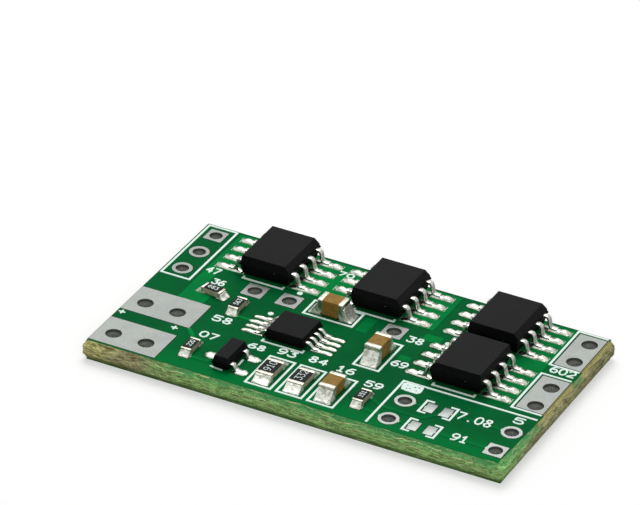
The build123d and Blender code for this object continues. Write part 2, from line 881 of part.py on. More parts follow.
chip_reach = large_resistor.pad_offset
small_reach = small_resistor.pad_offset
regulator_reach = (regulator_pad_span - regulator_pad_length) / 2
controller_reach = (controller_pad_span - controller_pad_length) / 2
trace_routes = [
    [
        (panel_positive_length, panel_positive_front),
        (resistor_4_x, front_row_y + small_reach),
    ],
    [
        (resistor_4_x, front_row_y - small_reach),
        (regulator_x - regulator_reach, front_row_y - small_reach),
        (regulator_x - regulator_reach, front_row_y),
    ],
    [
        (controller_x - controller_reach, controller_y + controller_spots[-2]),
        (test_1_x, controller_y + controller_spots[-2]),
        (test_1_x, resistor_6_y - small_reach),
    ],
    [
        (regulator_x + regulator_reach, front_row_y + regulator_spots[-1]),
        (resistor_5_x, front_row_y + chip_reach),
    ],
    [
        (resistor_3_x, front_row_y - small_reach),
        (option_hole_x, option_row_y),
        (jumper_left_x, option_row_y),
    ],
    [
        (option_hole_x, option_back_row_y),
        (jumper_left_x, option_back_row_y),
    ],
    [
        (resistor_3_x, front_row_y + small_reach),
        (option_frame_x, front_row_y),
        (jumper_left_x, front_row_y),
        (jumper_right_x, option_back_row_y),
    ],
    [
        (jumper_right_x, option_back_row_y),
        (battery_hole_x, option_back_row_y),
    ],
    [
        (jumper_right_x, option_row_y),
        (battery_hole_x, option_row_y),
    ],
]


def trace_outline(width):
    """Outline of the copper traces, drawn at a width."""
    with BuildSketch() as outline:
        for route in trace_routes:
            with BuildLine():
                Polyline(*[board_location(x, y).position for x, y in route])
            trace(line_width=width)
    return outline.sketch


with BuildPart() as copper_pours:
    with BuildSketch(Plane.XY.offset(core_top)) as pour_shape:
        add(pour_outline(0))
        add(plated_windows(0), mode=Mode.SUBTRACT)
    extrude(amount=foil_thickness)
finish(copper_pours, "copper_pours")

with BuildPart() as copper_traces:
    with BuildSketch(Plane.XY.offset(core_top)) as trace_shape:
        add(trace_outline(trace_width))
        add(box_windows(solder_boxes, 0))
        add(pour_outline(0), mode=Mode.SUBTRACT)
        add(box_windows(jumper_boxes, 0), mode=Mode.SUBTRACT)
        add(plated_windows(0), mode=Mode.SUBTRACT)
    extrude(amount=foil_thickness)
finish(copper_traces, "copper_traces")

# Solder mask: a thin coat with a window round each land, raised where copper lies under it
with BuildPart() as solder_mask_top:
    with BuildSketch(Plane.XY.offset(core_top)) as coat_outline:
        make_face(top_face.outer_wire().edges())
        add(mask_windows.sketch, mode=Mode.SUBTRACT)
    extrude(amount=mask_thickness)
    with BuildSketch(Plane.XY.offset(core_top)) as raised_outline:
        add(pour_outline(mask_side))
        add(trace_outline(trace_width + 2 * mask_side))
        add(mask_windows.sketch, mode=Mode.SUBTRACT)
    extrude(amount=raised_mask_top - core_top)
    add(copper_pours.part, mode=Mode.SUBTRACT)
    add(copper_traces.part, mode=Mode.SUBTRACT)
finish(solder_mask_top, "solder_mask_top")

with BuildPart() as solder_mask_bottom:
    with BuildSketch() as underside_outline:
        make_face(under_face.outer_wire().edges())
        add(plated_windows(0), mode=Mode.SUBTRACT)
    extrude(amount=underside_skin)
finish(solder_mask_bottom, "solder_mask_bottom")


# Printed frames, pin marks and brackets
def printed_line(*points):
    """Printed line through places on the board."""
    with BuildLine() as path:
        Polyline(*[board_location(x, y).position for x, y in points])
    trace(path.edges(), line_width=print_line)


def printed_box(centre_x, centre_y, length, width):
    """Printed frame round a part."""
    with Locations(board_location(centre_x, centre_y)):
        Rectangle(length, width)
        Rectangle(length - 2 * print_line, width - 2 * print_line, mode=Mode.SUBTRACT)


def body_line(x, front, reach):
    """Printed line before a package, with a tick at each end."""
    back = front + tick_length
    printed_line((x - reach, back), (x - reach, front), (x + reach, front), (x + reach, back))


def bracket(x, y, side):
    """Printed bracket that half encloses a bare land."""
    half = jumper_land_length / 2 + bracket_gap
    outer = x + side * (jumper_land_width / 2 + bracket_gap)
    inner = outer - side * bracket_leg
    printed_line((inner, y - half), (outer, y - half), (outer, y + half), (inner, y + half))


print_edge = print_line / 2 + print_edge_gap
mosfet_front = mosfet_body_length / 2 + corner_line_gap
controller_front = controller_y - controller_body_length / 2 - corner_line_gap
frame_right = board_length - print_edge
with BuildPart() as printed_frames:
    with BuildSketch(Plane.XY.offset(mask_top)) as frames:
        header_back = board_width - print_edge
        header_front = header_points[-1][1] - header_frame_reach
        printed_box(
            (print_edge + header_frame_right) / 2,
            (header_back + header_front) / 2,
            header_frame_right - print_edge,
            header_back - header_front,
        )
        printed_box(capacitor_1_x, test_land_y, chip_frame_length, chip_frame_width)
        printed_box(capacitor_2_x, capacitor_2_y, chip_frame_width, chip_frame_length)
        for x in (resistor_5_x, resistor_2_x, capacitor_3_x):
            printed_box(x, front_row_y, chip_frame_width, chip_frame_length)
        printed_line(
            (option_frame_x, print_edge),
            (option_frame_x, option_frame_y),
            (frame_right, option_frame_y),
        )
        for back in (battery_positive_back, battery_negative_back):
            left = battery_left - battery_frame_gap
            line_back = back + battery_frame_gap
            line_front = back - battery_land_length - battery_frame_gap
            printed_line(
                (frame_right, line_back),
                (left, line_back),
                (left, line_front),
                (frame_right, line_front),
            )
        for x, y, _ in mosfet_places:
            if (x, y) != (mosfet_3_x, mosfet_row_y):
                body_line(x, y - mosfet_front, body_line_reach)
        body_line(controller_x, controller_front, body_line_reach)
        for x, y in dot_points:
            with Locations(board_location(x, y)):
                RegularPolygon(dot_diameter / 2, dot_sides)
        for x, y in jumper_points:
            bracket(x, y, -1 if x == jumper_left_x else 1)
    extrude(amount=print_top - mask_top)
    add(solder_mask_top.part, mode=Mode.SUBTRACT)
    add(copper_pours.part, mode=Mode.SUBTRACT)
    add(copper_traces.part, mode=Mode.SUBTRACT)
finish(printed_frames, "printed_frames")
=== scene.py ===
"""Looks of the solar charge controller board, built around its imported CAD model.

Lengths are in millimetres in the board's own frame until a mesh is made, which is in metres.
The frame's origin is at the centre of the underside, +X towards the battery lands, +Z up.
"""

import logging
import math
from dataclasses import dataclass, field, replace
from enum import Enum
from typing import Callable, Sequence

import bmesh
import bpy
from mathutils import Matrix, Quaternion, Vector, noise
from mathutils.geometry import tessellate_polygon

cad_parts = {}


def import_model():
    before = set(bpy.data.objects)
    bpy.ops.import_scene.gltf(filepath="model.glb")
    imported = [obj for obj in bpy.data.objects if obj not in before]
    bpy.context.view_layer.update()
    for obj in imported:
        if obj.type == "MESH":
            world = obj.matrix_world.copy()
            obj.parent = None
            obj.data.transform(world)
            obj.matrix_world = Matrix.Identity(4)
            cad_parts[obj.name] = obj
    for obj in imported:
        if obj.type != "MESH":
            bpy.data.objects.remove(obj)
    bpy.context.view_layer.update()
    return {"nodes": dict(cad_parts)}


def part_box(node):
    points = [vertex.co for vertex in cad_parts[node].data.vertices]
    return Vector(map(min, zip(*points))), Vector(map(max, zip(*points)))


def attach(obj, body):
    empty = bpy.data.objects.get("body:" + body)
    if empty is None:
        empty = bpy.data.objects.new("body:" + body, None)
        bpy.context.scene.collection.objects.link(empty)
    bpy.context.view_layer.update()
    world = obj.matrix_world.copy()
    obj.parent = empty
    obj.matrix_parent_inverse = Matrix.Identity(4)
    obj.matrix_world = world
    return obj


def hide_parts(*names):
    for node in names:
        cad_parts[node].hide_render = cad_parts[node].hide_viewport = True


LOG = logging.getLogger("board")
MM = 0.001
BODY = "root"
CORE_BOTTOM = 0.05
CORE_TOP = 1.55
FOIL_TOP = 1.585
LAND_TOP = 1.61
PRINT_TOP = 1.625
BOARD_LENGTH = 31.55
BOARD_WIDTH = 17.96
PLATING = 0.03
BATTERY_LANDS = ("battery_terminal_positive", "battery_terminal_negative")
PANEL_LANDS = ("panel_terminal_positive", "panel_terminal_negative")

Point2 = tuple[float, float]
Point3 = tuple[float, float, float]
Span = tuple[float, float]
Rectangle = tuple[float, float, float, float]
Color = tuple[float, float, float, float]
Loop = list[Point2]
Levels = list[tuple[float, Loop]]
Socket = bpy.types.NodeSocket
Tree = bpy.types.NodeTree
Material = bpy.types.Material


def linear(red: int, green: int, blue: int) -> Color:
    """Linear colour for a colour written on the usual scale of 255.

    Args:
        red: Red share.
        green: Green share.
        blue: Blue share.

    Returns:
        The colour as shader sockets take it, opaque.
    """

    def channel(value: int) -> float:
        """One channel on the linear scale."""
        share = value / 255
        return share / 12.92 if share <= 0.04045 else ((share + 0.055) / 1.055) ** 2.4

    return (channel(red), channel(green), channel(blue), 1.0)


def on_board(x: float, y: float) -> Point2:
    """Place in the board's frame of a place measured from its front left corner."""
    return (x - BOARD_LENGTH / 2, y - BOARD_WIDTH / 2)


def node_box(name: str) -> tuple[Vector, Vector]:
    """Lowest and highest corners of a CAD node, in millimetres."""
    low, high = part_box(name)
    return low / MM, high / MM


def node_centre(name: str) -> Vector:
    """Middle of a CAD node's box, in millimetres."""
    low, high = node_box(name)
    return (low + high) / 2


# Shader wiring


class Graph:
    """A node tree that is being wired."""

    def __init__(self, tree: Tree) -> None:
        """Start from an empty tree."""
        self.tree = tree
        self.tree.nodes.clear()

    def node(self, kind: str, inputs: dict | None = None, **settings) -> bpy.types.Node:
        """Add a node.

        Args:
            kind: Blender's name of the node type.
            inputs: Values or output sockets, by input name or index.
            settings: Properties of the node.

        Returns:
            The new node.
        """
        made = self.tree.nodes.new(kind)
        for key, value in settings.items():
            setattr(made, key, value)
        for key, value in (inputs or {}).items():
            self.feed(made.inputs[key], value)
        return made

    def feed(self, socket: Socket, value: object) -> None:
        """Link a socket to an output, or set its value."""
        if isinstance(value, Socket):
            self.tree.links.new(value, socket)
        else:
            socket.default_value = value

    def math(self, operation: str, first: object, second: object = 0.0) -> Socket:
        """Add a math node and return its result."""
        return self.node("ShaderNodeMath", {0: first, 1: second}, operation=operation).outputs[0]

    def times(self, first: object, *others: object) -> Socket:
        """Product of all the numbers."""
        for other in others:
            first = self.math("MULTIPLY", first, other)
        return first

    def plus(self, first: object, second: object) -> Socket:
        """Sum of two numbers."""
        return self.math("ADD", first, second)

    def greater(self, first: object, second: object) -> Socket:
        """The greater of two numbers."""
        return self.math("MAXIMUM", first, second)

    def mix(self, factor: object, first: object, second: object) -> Socket:
        """Mix two colours and return the result."""
        inputs = {0: factor, 6: first, 7: second}
        return self.node("ShaderNodeMix", inputs, data_type="RGBA").outputs[2]

    def step(self, value: object, low: object, high: object) -> Socket:
        """Smooth step of a value between two levels, from 0 to 1."""
        inputs = {"Value": value, "From Min": low, "From Max": high}
        made = self.node("ShaderNodeMapRange", inputs, interpolation_type="SMOOTHSTEP")
        return made.outputs["Result"]

    def spread(self, share: object, low: float, high: float = 1.0) -> Socket:
        """A share from 0 to 1, spread between two values."""
        inputs = {"Value": share, "To Min": low, "To Max": high}
        return self.node("ShaderNodeMapRange", inputs).outputs["Result"]

    def millimetres(self) -> Socket:
        """Place on the piece, in millimetres."""
        place = self.node("ShaderNodeTexCoord").outputs["Object"]
        scaled = self.node("ShaderNodeVectorMath", {0: place, "Scale": 1 / MM}, operation="SCALE")
        return scaled.outputs[0]

    def axes(self) -> tuple[Socket, Socket, Socket]:
        """Place on the piece along X, Y and Z, in millimetres."""
        return tuple(self.node("ShaderNodeSeparateXYZ", {0: self.millimetres()}).outputs)

    def group(self, tree: Tree, **values) -> Socket:
        """Place a node group, with input values by name, and return its result."""
        made = self.tree.nodes.new("ShaderNodeGroup")
        made.node_tree = tree
        for key, value in values.items():
            self.feed(made.inputs[key], value)
        return made.outputs[0]


def new_group(name: str, inputs: dict[str, str], result: str) -> tuple[Graph, dict[str, Socket]]:
    """Make a shader node group without its wiring.

    Args:
        name: Name of the group.
        inputs: Socket types by input name.
        result: Socket type of its one output.

    Returns:
        The graph to wire, and the sockets of its inputs by name.
    """
    tree = bpy.data.node_groups.new(name, "ShaderNodeTree")
    for socket, kind in inputs.items():
        tree.interface.new_socket(socket, in_out="INPUT", socket_type=kind)
    tree.interface.new_socket("Result", in_out="OUTPUT", socket_type=result)
    graph = Graph(tree)
    given = graph.node("NodeGroupInput")
    return graph, {socket: given.outputs[socket] for socket in inputs}


EVEN = (1.0, 1.0, 1.0)
NUMBER = "NodeSocketFloat"
VECTOR = "NodeSocketVector"
COLOR = "NodeSocketColor"


@dataclass
class Effects:
    """Shader effects that several finishes share, each a node group built once."""

    grain: Tree = field(init=False)
    level: Tree = field(init=False)
    blotch: Tree = field(init=False)

    def __post_init__(self) -> None:
        """Build the groups."""
        self.grain = self.build_grain()
        self.level = self.build_level()
        self.blotch = self.build_blotch()

    def build_grain(self) -> Tree:
        """Noise that can be stretched along an axis, pushed towards its ends."""
        inputs = {"Scale": NUMBER, "Stretch": VECTOR, "Detail": NUMBER, "Low": NUMBER, "High": NUMBER}
        graph, given = new_group("grain", inputs, NUMBER)
        place = {0: graph.millimetres(), 1: given["Stretch"]}
        stretched = graph.node("ShaderNodeVectorMath", place, operation="MULTIPLY").outputs[0]
        texture = {"Vector": stretched, "Scale": given["Scale"], "Detail": given["Detail"]}
        cloud = graph.node("ShaderNodeTexNoise", texture).outputs[0]
        levels = {"Value": cloud, "From Min": given["Low"], "From Max": given["High"]}
        pushed = graph.node("ShaderNodeMapRange", levels).outputs["Result"]
        graph.node("NodeGroupOutput", {0: pushed})
        return graph.tree

    def build_level(self) -> Tree:
        """Mask that rises from 0 to 1 between two heights on the piece."""
        graph, given = new_group("level", {"Low": NUMBER, "High": NUMBER}, NUMBER)
        height = graph.axes()[2]
        graph.node("NodeGroupOutput", {0: graph.step(height, given["Low"], given["High"])})
        return graph.tree

    def build_blotch(self) -> Tree:
        """Soft patches of a second colour over a first."""
        inputs = {"Ground": COLOR, "Patch": COLOR, "Scale": NUMBER, "Amount": NUMBER}
        graph, given = new_group("blotch", inputs, COLOR)
        texture = {"Vector": graph.millimetres(), "Scale": given["Scale"], "Detail": 5.0, "Roughness": 0.62}
        cloud = graph.node("ShaderNodeTexNoise", texture).outputs[0]
        mask = graph.times(graph.step(cloud, 0.36, 0.66), given["Amount"])
        graph.node("NodeGroupOutput", {0: graph.mix(mask, given["Ground"], given["Patch"])})
        return graph.tree

    def noise(
        self, graph: Graph, scale: float, levels: Span, detail: float = 3.0, stretch: Point3 = EVEN
    ) -> Socket:
        """Place the grain in a graph.

        Args:
            graph: The material's graph.
            scale: Grains in a millimetre.
            levels: Noise levels that become 0 and 1.
            detail: Finer layers of the noise.
            stretch: Factor along each axis; a small one draws the grains out.

        Returns:
            The noise, from 0 to 1.
        """
        low, high = levels
        return graph.group(self.grain, Scale=scale, Stretch=stretch, Detail=detail, Low=low, High=high)

    def above(self, graph: Graph, heights: Span) -> Socket:
        """Mask of what lies above a height, which rises between two."""
        return graph.group(self.level, Low=heights[0], High=heights[1])

    def patches(self, graph: Graph, ground: Color, patch: Color, scale: float, amount: float) -> Socket:
        """A colour with soft patches of a second one."""
        return graph.group(self.blotch, Ground=ground, Patch=patch, Scale=scale, Amount=amount)


@dataclass(frozen=True)
class Finish:
    """A surface's colours, gloss and grain; the base of all the finishes."""

    name: str
    slot: str
    ground: Color
    patch: Color
    roughness: float = 0.5
    metallic: float = 0.0
    patch_scale: float = 1.0
    patch_amount: float = 0.6
    grain_scale: float = 12.0
    grain_depth: float = 0.002
    grain_levels: Span = (0.3, 0.7)
    specular: float = 0.5

    def start(self) -> tuple[Material, Graph, bpy.types.Node]:
        """New material with a Principled surface and this finish's plain values."""
        material = bpy.data.materials.new(self.name)
        material.use_nodes = True
        graph = Graph(material.node_tree)
        values = {
            "Metallic": self.metallic,
            "Roughness": self.roughness,
            "Specular IOR Level": self.specular,
        }
        surface = graph.node("ShaderNodeBsdfPrincipled", values)
        graph.node("ShaderNodeOutputMaterial", {"Surface": surface.outputs[0]})
        return material, graph, surface

    def tint(self, effects: Effects, graph: Graph, amount: float) -> Socket:
        """The two colours in soft patches."""
        return effects.patches(graph, self.ground, self.patch, self.patch_scale, amount)

    def bump(self, graph: Graph, surface: bpy.types.Node, height: Socket) -> None:
        """Raise the surface by a mask, to the depth of this finish's grain."""
        inputs = {"Height": height, "Distance": self.grain_depth * MM, "Strength": 1.0}
        graph.feed(surface.inputs["Normal"], graph.node("ShaderNodeBump", inputs).outputs[0])

    def roughen(
        self, graph: Graph, surface: bpy.types.Node, mask: Socket, gain: float, least: float
    ) -> None:
        """Let the roughness follow a mask, from a least value up by a gain."""
        graph.feed(surface.inputs["Roughness"], graph.plus(graph.times(mask, gain), least))

    def make(self, effects: Effects) -> Material:
        """Patches of two colours over fine grain.

        Args:
            effects: The shared node groups.

        Returns:
            The finished material.
        """
        material, graph, surface = self.start()
        graph.feed(surface.inputs["Base Color"], self.tint(effects, graph, self.patch_amount))
        grain = effects.noise(graph, self.grain_scale, self.grain_levels, 4.0)
        self.roughen(graph, surface, grain, self.roughness * 0.3, self.roughness * 0.85)
        self.bump(graph, surface, grain)
        return material


@dataclass(frozen=True)
class MaskFinish(Finish):
    """Green lacquer: brighter where it stands higher over copper, with a soft orange-peel.

    Attributes:
        raised: Colour over copper.
        raised_patch: Second colour over copper.
        front: Colour along the front edge.
        worn: Bare border beside the battery lands.
        tint_share: How far the patches cover the ground.
        copper_heights: Heights between which the colour turns to the raised one.
        front_band: Where the front's colour sets in, and where it is full.
        front_share: How far the front's colour covers.
        faint_band: From where copper is faint to where it shows fully.
        faint_share: How much of the copper shows where it is faint.
        left_field: Where copper shows fully again at the left.
        dim_band: From where copper is dimmed to the right, and where it is dimmest.
        dim_share: How much of it shows there.
        top_heights: Heights between which the copper patches set in.
        patch_share: How much of the copper patches shows.
        soft_border: Width of the borders of the copper patches and the worn strips.
        worn_width: How far a worn strip reaches under its land's outer border.
        worn_margin: How far it runs past the land's ends.
        copper_patches: Small areas of copper that only tint the lacquer.
    """

    raised: Color = linear(0, 130, 60)
    raised_patch: Color = linear(4, 108, 54)
    front: Color = linear(0, 116, 52)
    worn: Color = linear(146, 138, 84)
    grain_levels: Span = (0.25, 0.75)
    tint_share: float = 0.7
    copper_heights: Span = (1.585, 1.6)
    front_band: Span = (-6.0, -8.8)
    front_share: float = 0.75
    faint_band: Span = (-4.5, -0.5)
    faint_share: float = 0.45
    left_field: Span = (-8.9, -9.5)
    dim_band: Span = (3.0, 8.0)
    dim_share: float = 0.6
    top_heights: Span = (1.0, 1.5)
    patch_share: float = 0.8
    soft_border: float = 0.05
    worn_width: float = 0.05
    worn_margin: float = 0.1
    copper_patches: tuple[Rectangle, ...] = (
        (-0.3, 1.27, 0.6, 3.2),
        (4.28, 2.45, 5.65, 3.38),
        (3.9, -0.68, 4.83, 0.0),
    )

    def inside(self, graph: Graph, rectangles: Sequence[Rectangle]) -> Socket:
        """Mask of some rectangles on the board, with soft borders."""
        soft = self.soft_border
        along, across, _ = graph.axes()
        found: object = 0.0
        for left, front, right, back in rectangles:
            ends = graph.times(graph.step(along, left, left + soft), graph.step(along, right, right - soft))
            front_side = graph.step(across, front, front + soft)
            sides = graph.times(front_side, graph.step(across, back, back - soft))
            found = graph.greater(found, graph.times(ends, sides))
        return found

    def worn_border(self, graph: Graph) -> Socket:
        """Mask of the narrow border beside the battery lands, where the lacquer is worn off."""
        strips = []
        for low, high in (node_box(name) for name in BATTERY_LANDS):
            front, back = low.y - self.worn_margin, high.y + self.worn_margin
            strips.append((high.x - self.worn_width, front, BOARD_LENGTH, back))
        return self.inside(graph, strips)

    def copper(self, effects: Effects, graph: Graph) -> Socket:
        """Mask of the copper that shows through the lacquer."""
        along, across, _ = graph.axes()
        band = {"From Min": self.faint_band[0], "From Max": self.faint_band[1], "To Min": self.faint_share}
        clear = graph.node("ShaderNodeMapRange", {"Value": across, **band}).outputs["Result"]
        clear = graph.greater(clear, graph.step(along, *self.left_field))
        dimmed = graph.spread(graph.step(along, *self.dim_band), 1.0, self.dim_share)
        relief = graph.times(effects.above(graph, self.copper_heights), graph.times(clear, dimmed))
        top = effects.above(graph, self.top_heights)
        patches = graph.times(self.inside(graph, self.copper_patches), top, self.patch_share)
        return graph.greater(relief, patches)

    def make(self, effects: Effects) -> Material:
        """Two greens by the lacquer's own height."""
        material, graph, surface = self.start()
        across = graph.axes()[1]
        near = graph.times(graph.step(across, *self.front_band), self.front_share)
        bare = graph.mix(near, self.tint(effects, graph, self.tint_share), self.front)
        over = effects.patches(graph, self.raised, self.raised_patch, self.patch_scale, self.tint_share)
        color = graph.mix(self.copper(effects, graph), bare, over)
        graph.feed(surface.inputs["Base Color"], graph.mix(self.worn_border(graph), color, self.worn))
        peel = effects.noise(graph, self.grain_scale, self.grain_levels)
        self.roughen(graph, surface, peel, 0.07, self.roughness)
        self.bump(graph, surface, peel)
        return material


@dataclass(frozen=True)
class LaminateFinish(Finish):
    """Broken glass laminate: long fibres in resin, stained green below the lacquer, with a painted
    highlight on the right edge's top.

    Attributes:
        end: Colour of the left end.
        green: Stain along the front.
        top_green: Lacquer that has run over the edge's upper half.
        shade: Dark streaks and grit.
        fibre: Pale fibres.
        lower: Dark foot of the edge.
        crest_highlight: Painted highlight, a pale colour along the upper border of the right edge.
        covered: Top face in the gaps round the lands.
        left_end: Where the left end's colour sets in, and where it is full.
        green_start: Where the stain sets in along the front, and where it is full.
        front_side: The same for the stain from the back to the front.
        front_face: Where fibres are faint, and where they are clearest.
        right_end: Where the right edge's colour sets in, and where it is full.
        corner_stain: Where the lacquer that has run over starts, and where it is full.
        gap_middle: Middle of the stain between the battery lands.
        gap_reach: Its half length, and the half length of its full part.
        fibre_rows: Rows of fibres in a millimetre of height.
        fibre_width: Half width of a fibre in its row, and of its full part.
        foot_heights: Heights between which the dark foot fades out.
        upper_heights: Heights between which the lacquer that has run over sets in.
        crest_heights: Heights between which the painted highlight on the upper border sets in.
        lid_heights: Heights between which the top face's colour sets in.
        end_share: How far the left end's colour covers, and so on for the others.
    """

    end: Color = linear(228, 220, 138)
    green: Color = linear(170, 228, 136)
    top_green: Color = linear(84, 168, 100)
    shade: Color = linear(78, 76, 44)
    fibre: Color = linear(240, 248, 178)
    lower: Color = linear(66, 102, 36)
    crest_highlight: Color = linear(214, 204, 128)
    covered: Color = linear(30, 48, 30)
    left_end: Span = (-12.0, -14.2)
    green_start: Span = (-10.5, -6.5)
    front_side: Span = (-3.5, -8.6)
    front_face: Span = (-8.6, -8.9)
    right_end: Span = (13.5, 15.0)
    corner_stain: Span = (-2.2, -3.8)
    gap_middle: float = 3.1
    gap_reach: Span = (1.2, 0.4)
    fibre_rows: float = 2.6
    fibre_width: Span = (0.1, 0.03)
    foot_heights: Span = (0.1, 0.8)
    upper_heights: Span = (0.9, 1.45)
    crest_heights: Span = (1.2, 1.5)
    lid_heights: Span = (1.54, 1.549)
    end_share: float = 0.8
    green_share: float = 0.9
    gap_share: float = 0.8
    streak_share: float = 0.8
    crest_share: float = 0.7
    foot_share: float = 0.75
    fibre_share: float = 0.9
    grit_share: float = 0.72

    def stained_rim(self, graph: Graph, green_from: Socket) -> Socket:
        """Mask of the edge's length where lacquer has run over its upper half."""
        along, across, _ = graph.axes()
        corner = graph.times(green_from, graph.step(across, *self.corner_stain))
        away = graph.math("ABSOLUTE", graph.math("SUBTRACT", across, self.gap_middle))
        gap = graph.times(graph.step(away, *self.gap_reach), graph.step(along, *self.right_end))
        return graph.greater(corner, graph.times(gap, self.gap_share))

    def fibres(self, effects: Effects, graph: Graph, height: Socket) -> Socket:
        """Mask of thin fibres that run along the edge, wander in height and break off."""
        slow = effects.noise(graph, 0.3, (0.0, 1.0), 2.0, (1.0, 1.0, 0.0))
        quick = effects.noise(graph, 1.4, (0.0, 1.0), 3.0, (1.0, 1.0, 0.4))
        wander = graph.plus(graph.times(slow, 1.3), graph.times(quick, 0.2))
        turn = graph.math("FRACT", graph.times(graph.plus(height, wander), self.fibre_rows))
        away = graph.math("ABSOLUTE", graph.math("SUBTRACT", turn, 0.5))
        kept = effects.noise(graph, 0.55, (0.47, 0.54), 3.0, (1.0, 1.0, 2.5))
        return graph.times(graph.step(away, *self.fibre_width), kept)

    def make(self, effects: Effects) -> Material:
        """Streaks, fibres and tints of the broken edge, with a painted highlight on the right edge's top.
        """
        material, graph, surface = self.start()
        along, across, height = graph.axes()
        wander = effects.noise(graph, 0.5, self.grain_levels, 3.0, (1.0, 1.0, 0.6))
        shifted_along = graph.plus(along, graph.times(wander, 3.0))
        yellow = graph.times(graph.step(shifted_along, *self.left_end), self.end_share)
        color = graph.mix(yellow, self.tint(effects, graph, 0.9), self.end)
        green_from = graph.step(shifted_along, *self.green_start)
        greener = graph.times(green_from, graph.step(across, *self.front_side), self.green_share)
        color = graph.mix(greener, color, self.green)
        streak = effects.noise(graph, 1.6, (0.42, 0.66), 6.0, (1.0, 1.0, 6.0))
        color = graph.mix(graph.times(streak, self.streak_share), color, self.shade)
        rim = self.stained_rim(graph, green_from)
        speck = effects.noise(graph, 1.6, (0.2, 0.55), 5.0, (1.0, 1.0, 2.4))
        upper = effects.above(graph, self.upper_heights)
        color = graph.mix(graph.times(speck, rim, upper), color, self.top_green)
        # Painted highlight: a pale band along the top of the right edge, where it catches the light.
        right = graph.math("SUBTRACT", graph.step(along, *self.right_end), rim)
        crest_highlight = graph.times(graph.greater(right, 0.0), self.crest_share)
        crest_highlight = graph.times(crest_highlight, effects.above(graph, self.crest_heights))
        color = graph.mix(crest_highlight, color, self.crest_highlight)
        below = graph.math("SUBTRACT", 1.0, effects.above(graph, self.foot_heights))
        color = graph.mix(graph.times(below, self.foot_share), color, self.lower)
        thread = self.fibres(effects, graph, height)
        face = graph.spread(graph.step(across, *self.front_face), 0.25)
        color = graph.mix(graph.times(thread, graph.times(face, self.fibre_share)), color, self.fibre)
        grit = effects.noise(graph, 7.0, (0.5, 0.68), 3.0, (1.0, 1.0, 2.5))
        color = graph.mix(graph.times(grit, self.grit_share), color, self.shade)
        color = graph.mix(effects.above(graph, self.lid_heights), color, self.covered)
        graph.feed(surface.inputs["Base Color"], color)
        self.bump(graph, surface, graph.plus(graph.math("SUBTRACT", thread, streak), 1.0))
        return material


@dataclass(frozen=True)
class PlasticFinish(Finish):
    """Moulding compound with a fine pale speckle; its gloss fades out near the board, as painted shade."""

    speckle: Color = linear(62, 64, 62)
    speckle_share: float = 0.35
    gloss_heights: Span = (1.7, 2.7)
    least_gloss: float = 0.01

    def make(self, effects: Effects) -> Material:
        """Charcoal with fine pale specks."""
        material, graph, surface = self.start()
        speck = graph.times(effects.noise(graph, 15.0, (0.62, 0.78), 2.0), self.speckle_share)
        dotted = graph.mix(speck, self.tint(effects, graph, 0.8), self.speckle)
        graph.feed(surface.inputs["Base Color"], dotted)
        # Painted shade: less gloss low on the body, where shade falls near the board.
        gloss = graph.spread(effects.above(graph, self.gloss_heights), self.least_gloss, self.specular)
        graph.feed(surface.inputs["Specular IOR Level"], gloss)
        self.bump(graph, surface, effects.noise(graph, self.grain_scale, self.grain_levels, 5.0))
        return material


@dataclass(frozen=True)
class LandFinish(Finish):
    """Tinned copper: dull and flat, with a rough grey barrel inside the hole, darkened with painted shade.
    """

    barrel: Color = linear(196, 199, 192)
    shaded_barrel: Color = linear(66, 69, 64)
    top_heights: Span = (1.5, 1.6)
    shaded_heights: Span = (1.1, 1.5)
    barrel_metallic: float = 0.15

    def make(self, effects: Effects) -> Material:
        """Dull tin above, rough coating down the hole, darkened there with painted shade."""
        material, graph, surface = self.start()
        top = effects.above(graph, self.top_heights)
        grain = effects.noise(graph, self.grain_scale, self.grain_levels, 5.0)
        # Painted shade: the barrel turns dark over its upper part and in patches of grain below, for the
        # shade inside the hole.
        shaded = graph.greater(graph.times(grain, 0.7), effects.above(graph, self.shaded_heights))
        inside = graph.mix(shaded, self.barrel, self.shaded_barrel)
        color = graph.mix(top, inside, self.tint(effects, graph, 0.7))
        graph.feed(surface.inputs["Base Color"], color)
        graph.feed(surface.inputs["Metallic"], graph.spread(top, self.barrel_metallic))
        self.roughen(graph, surface, grain, 0.12, self.roughness)
        self.bump(graph, surface, grain)
        return material


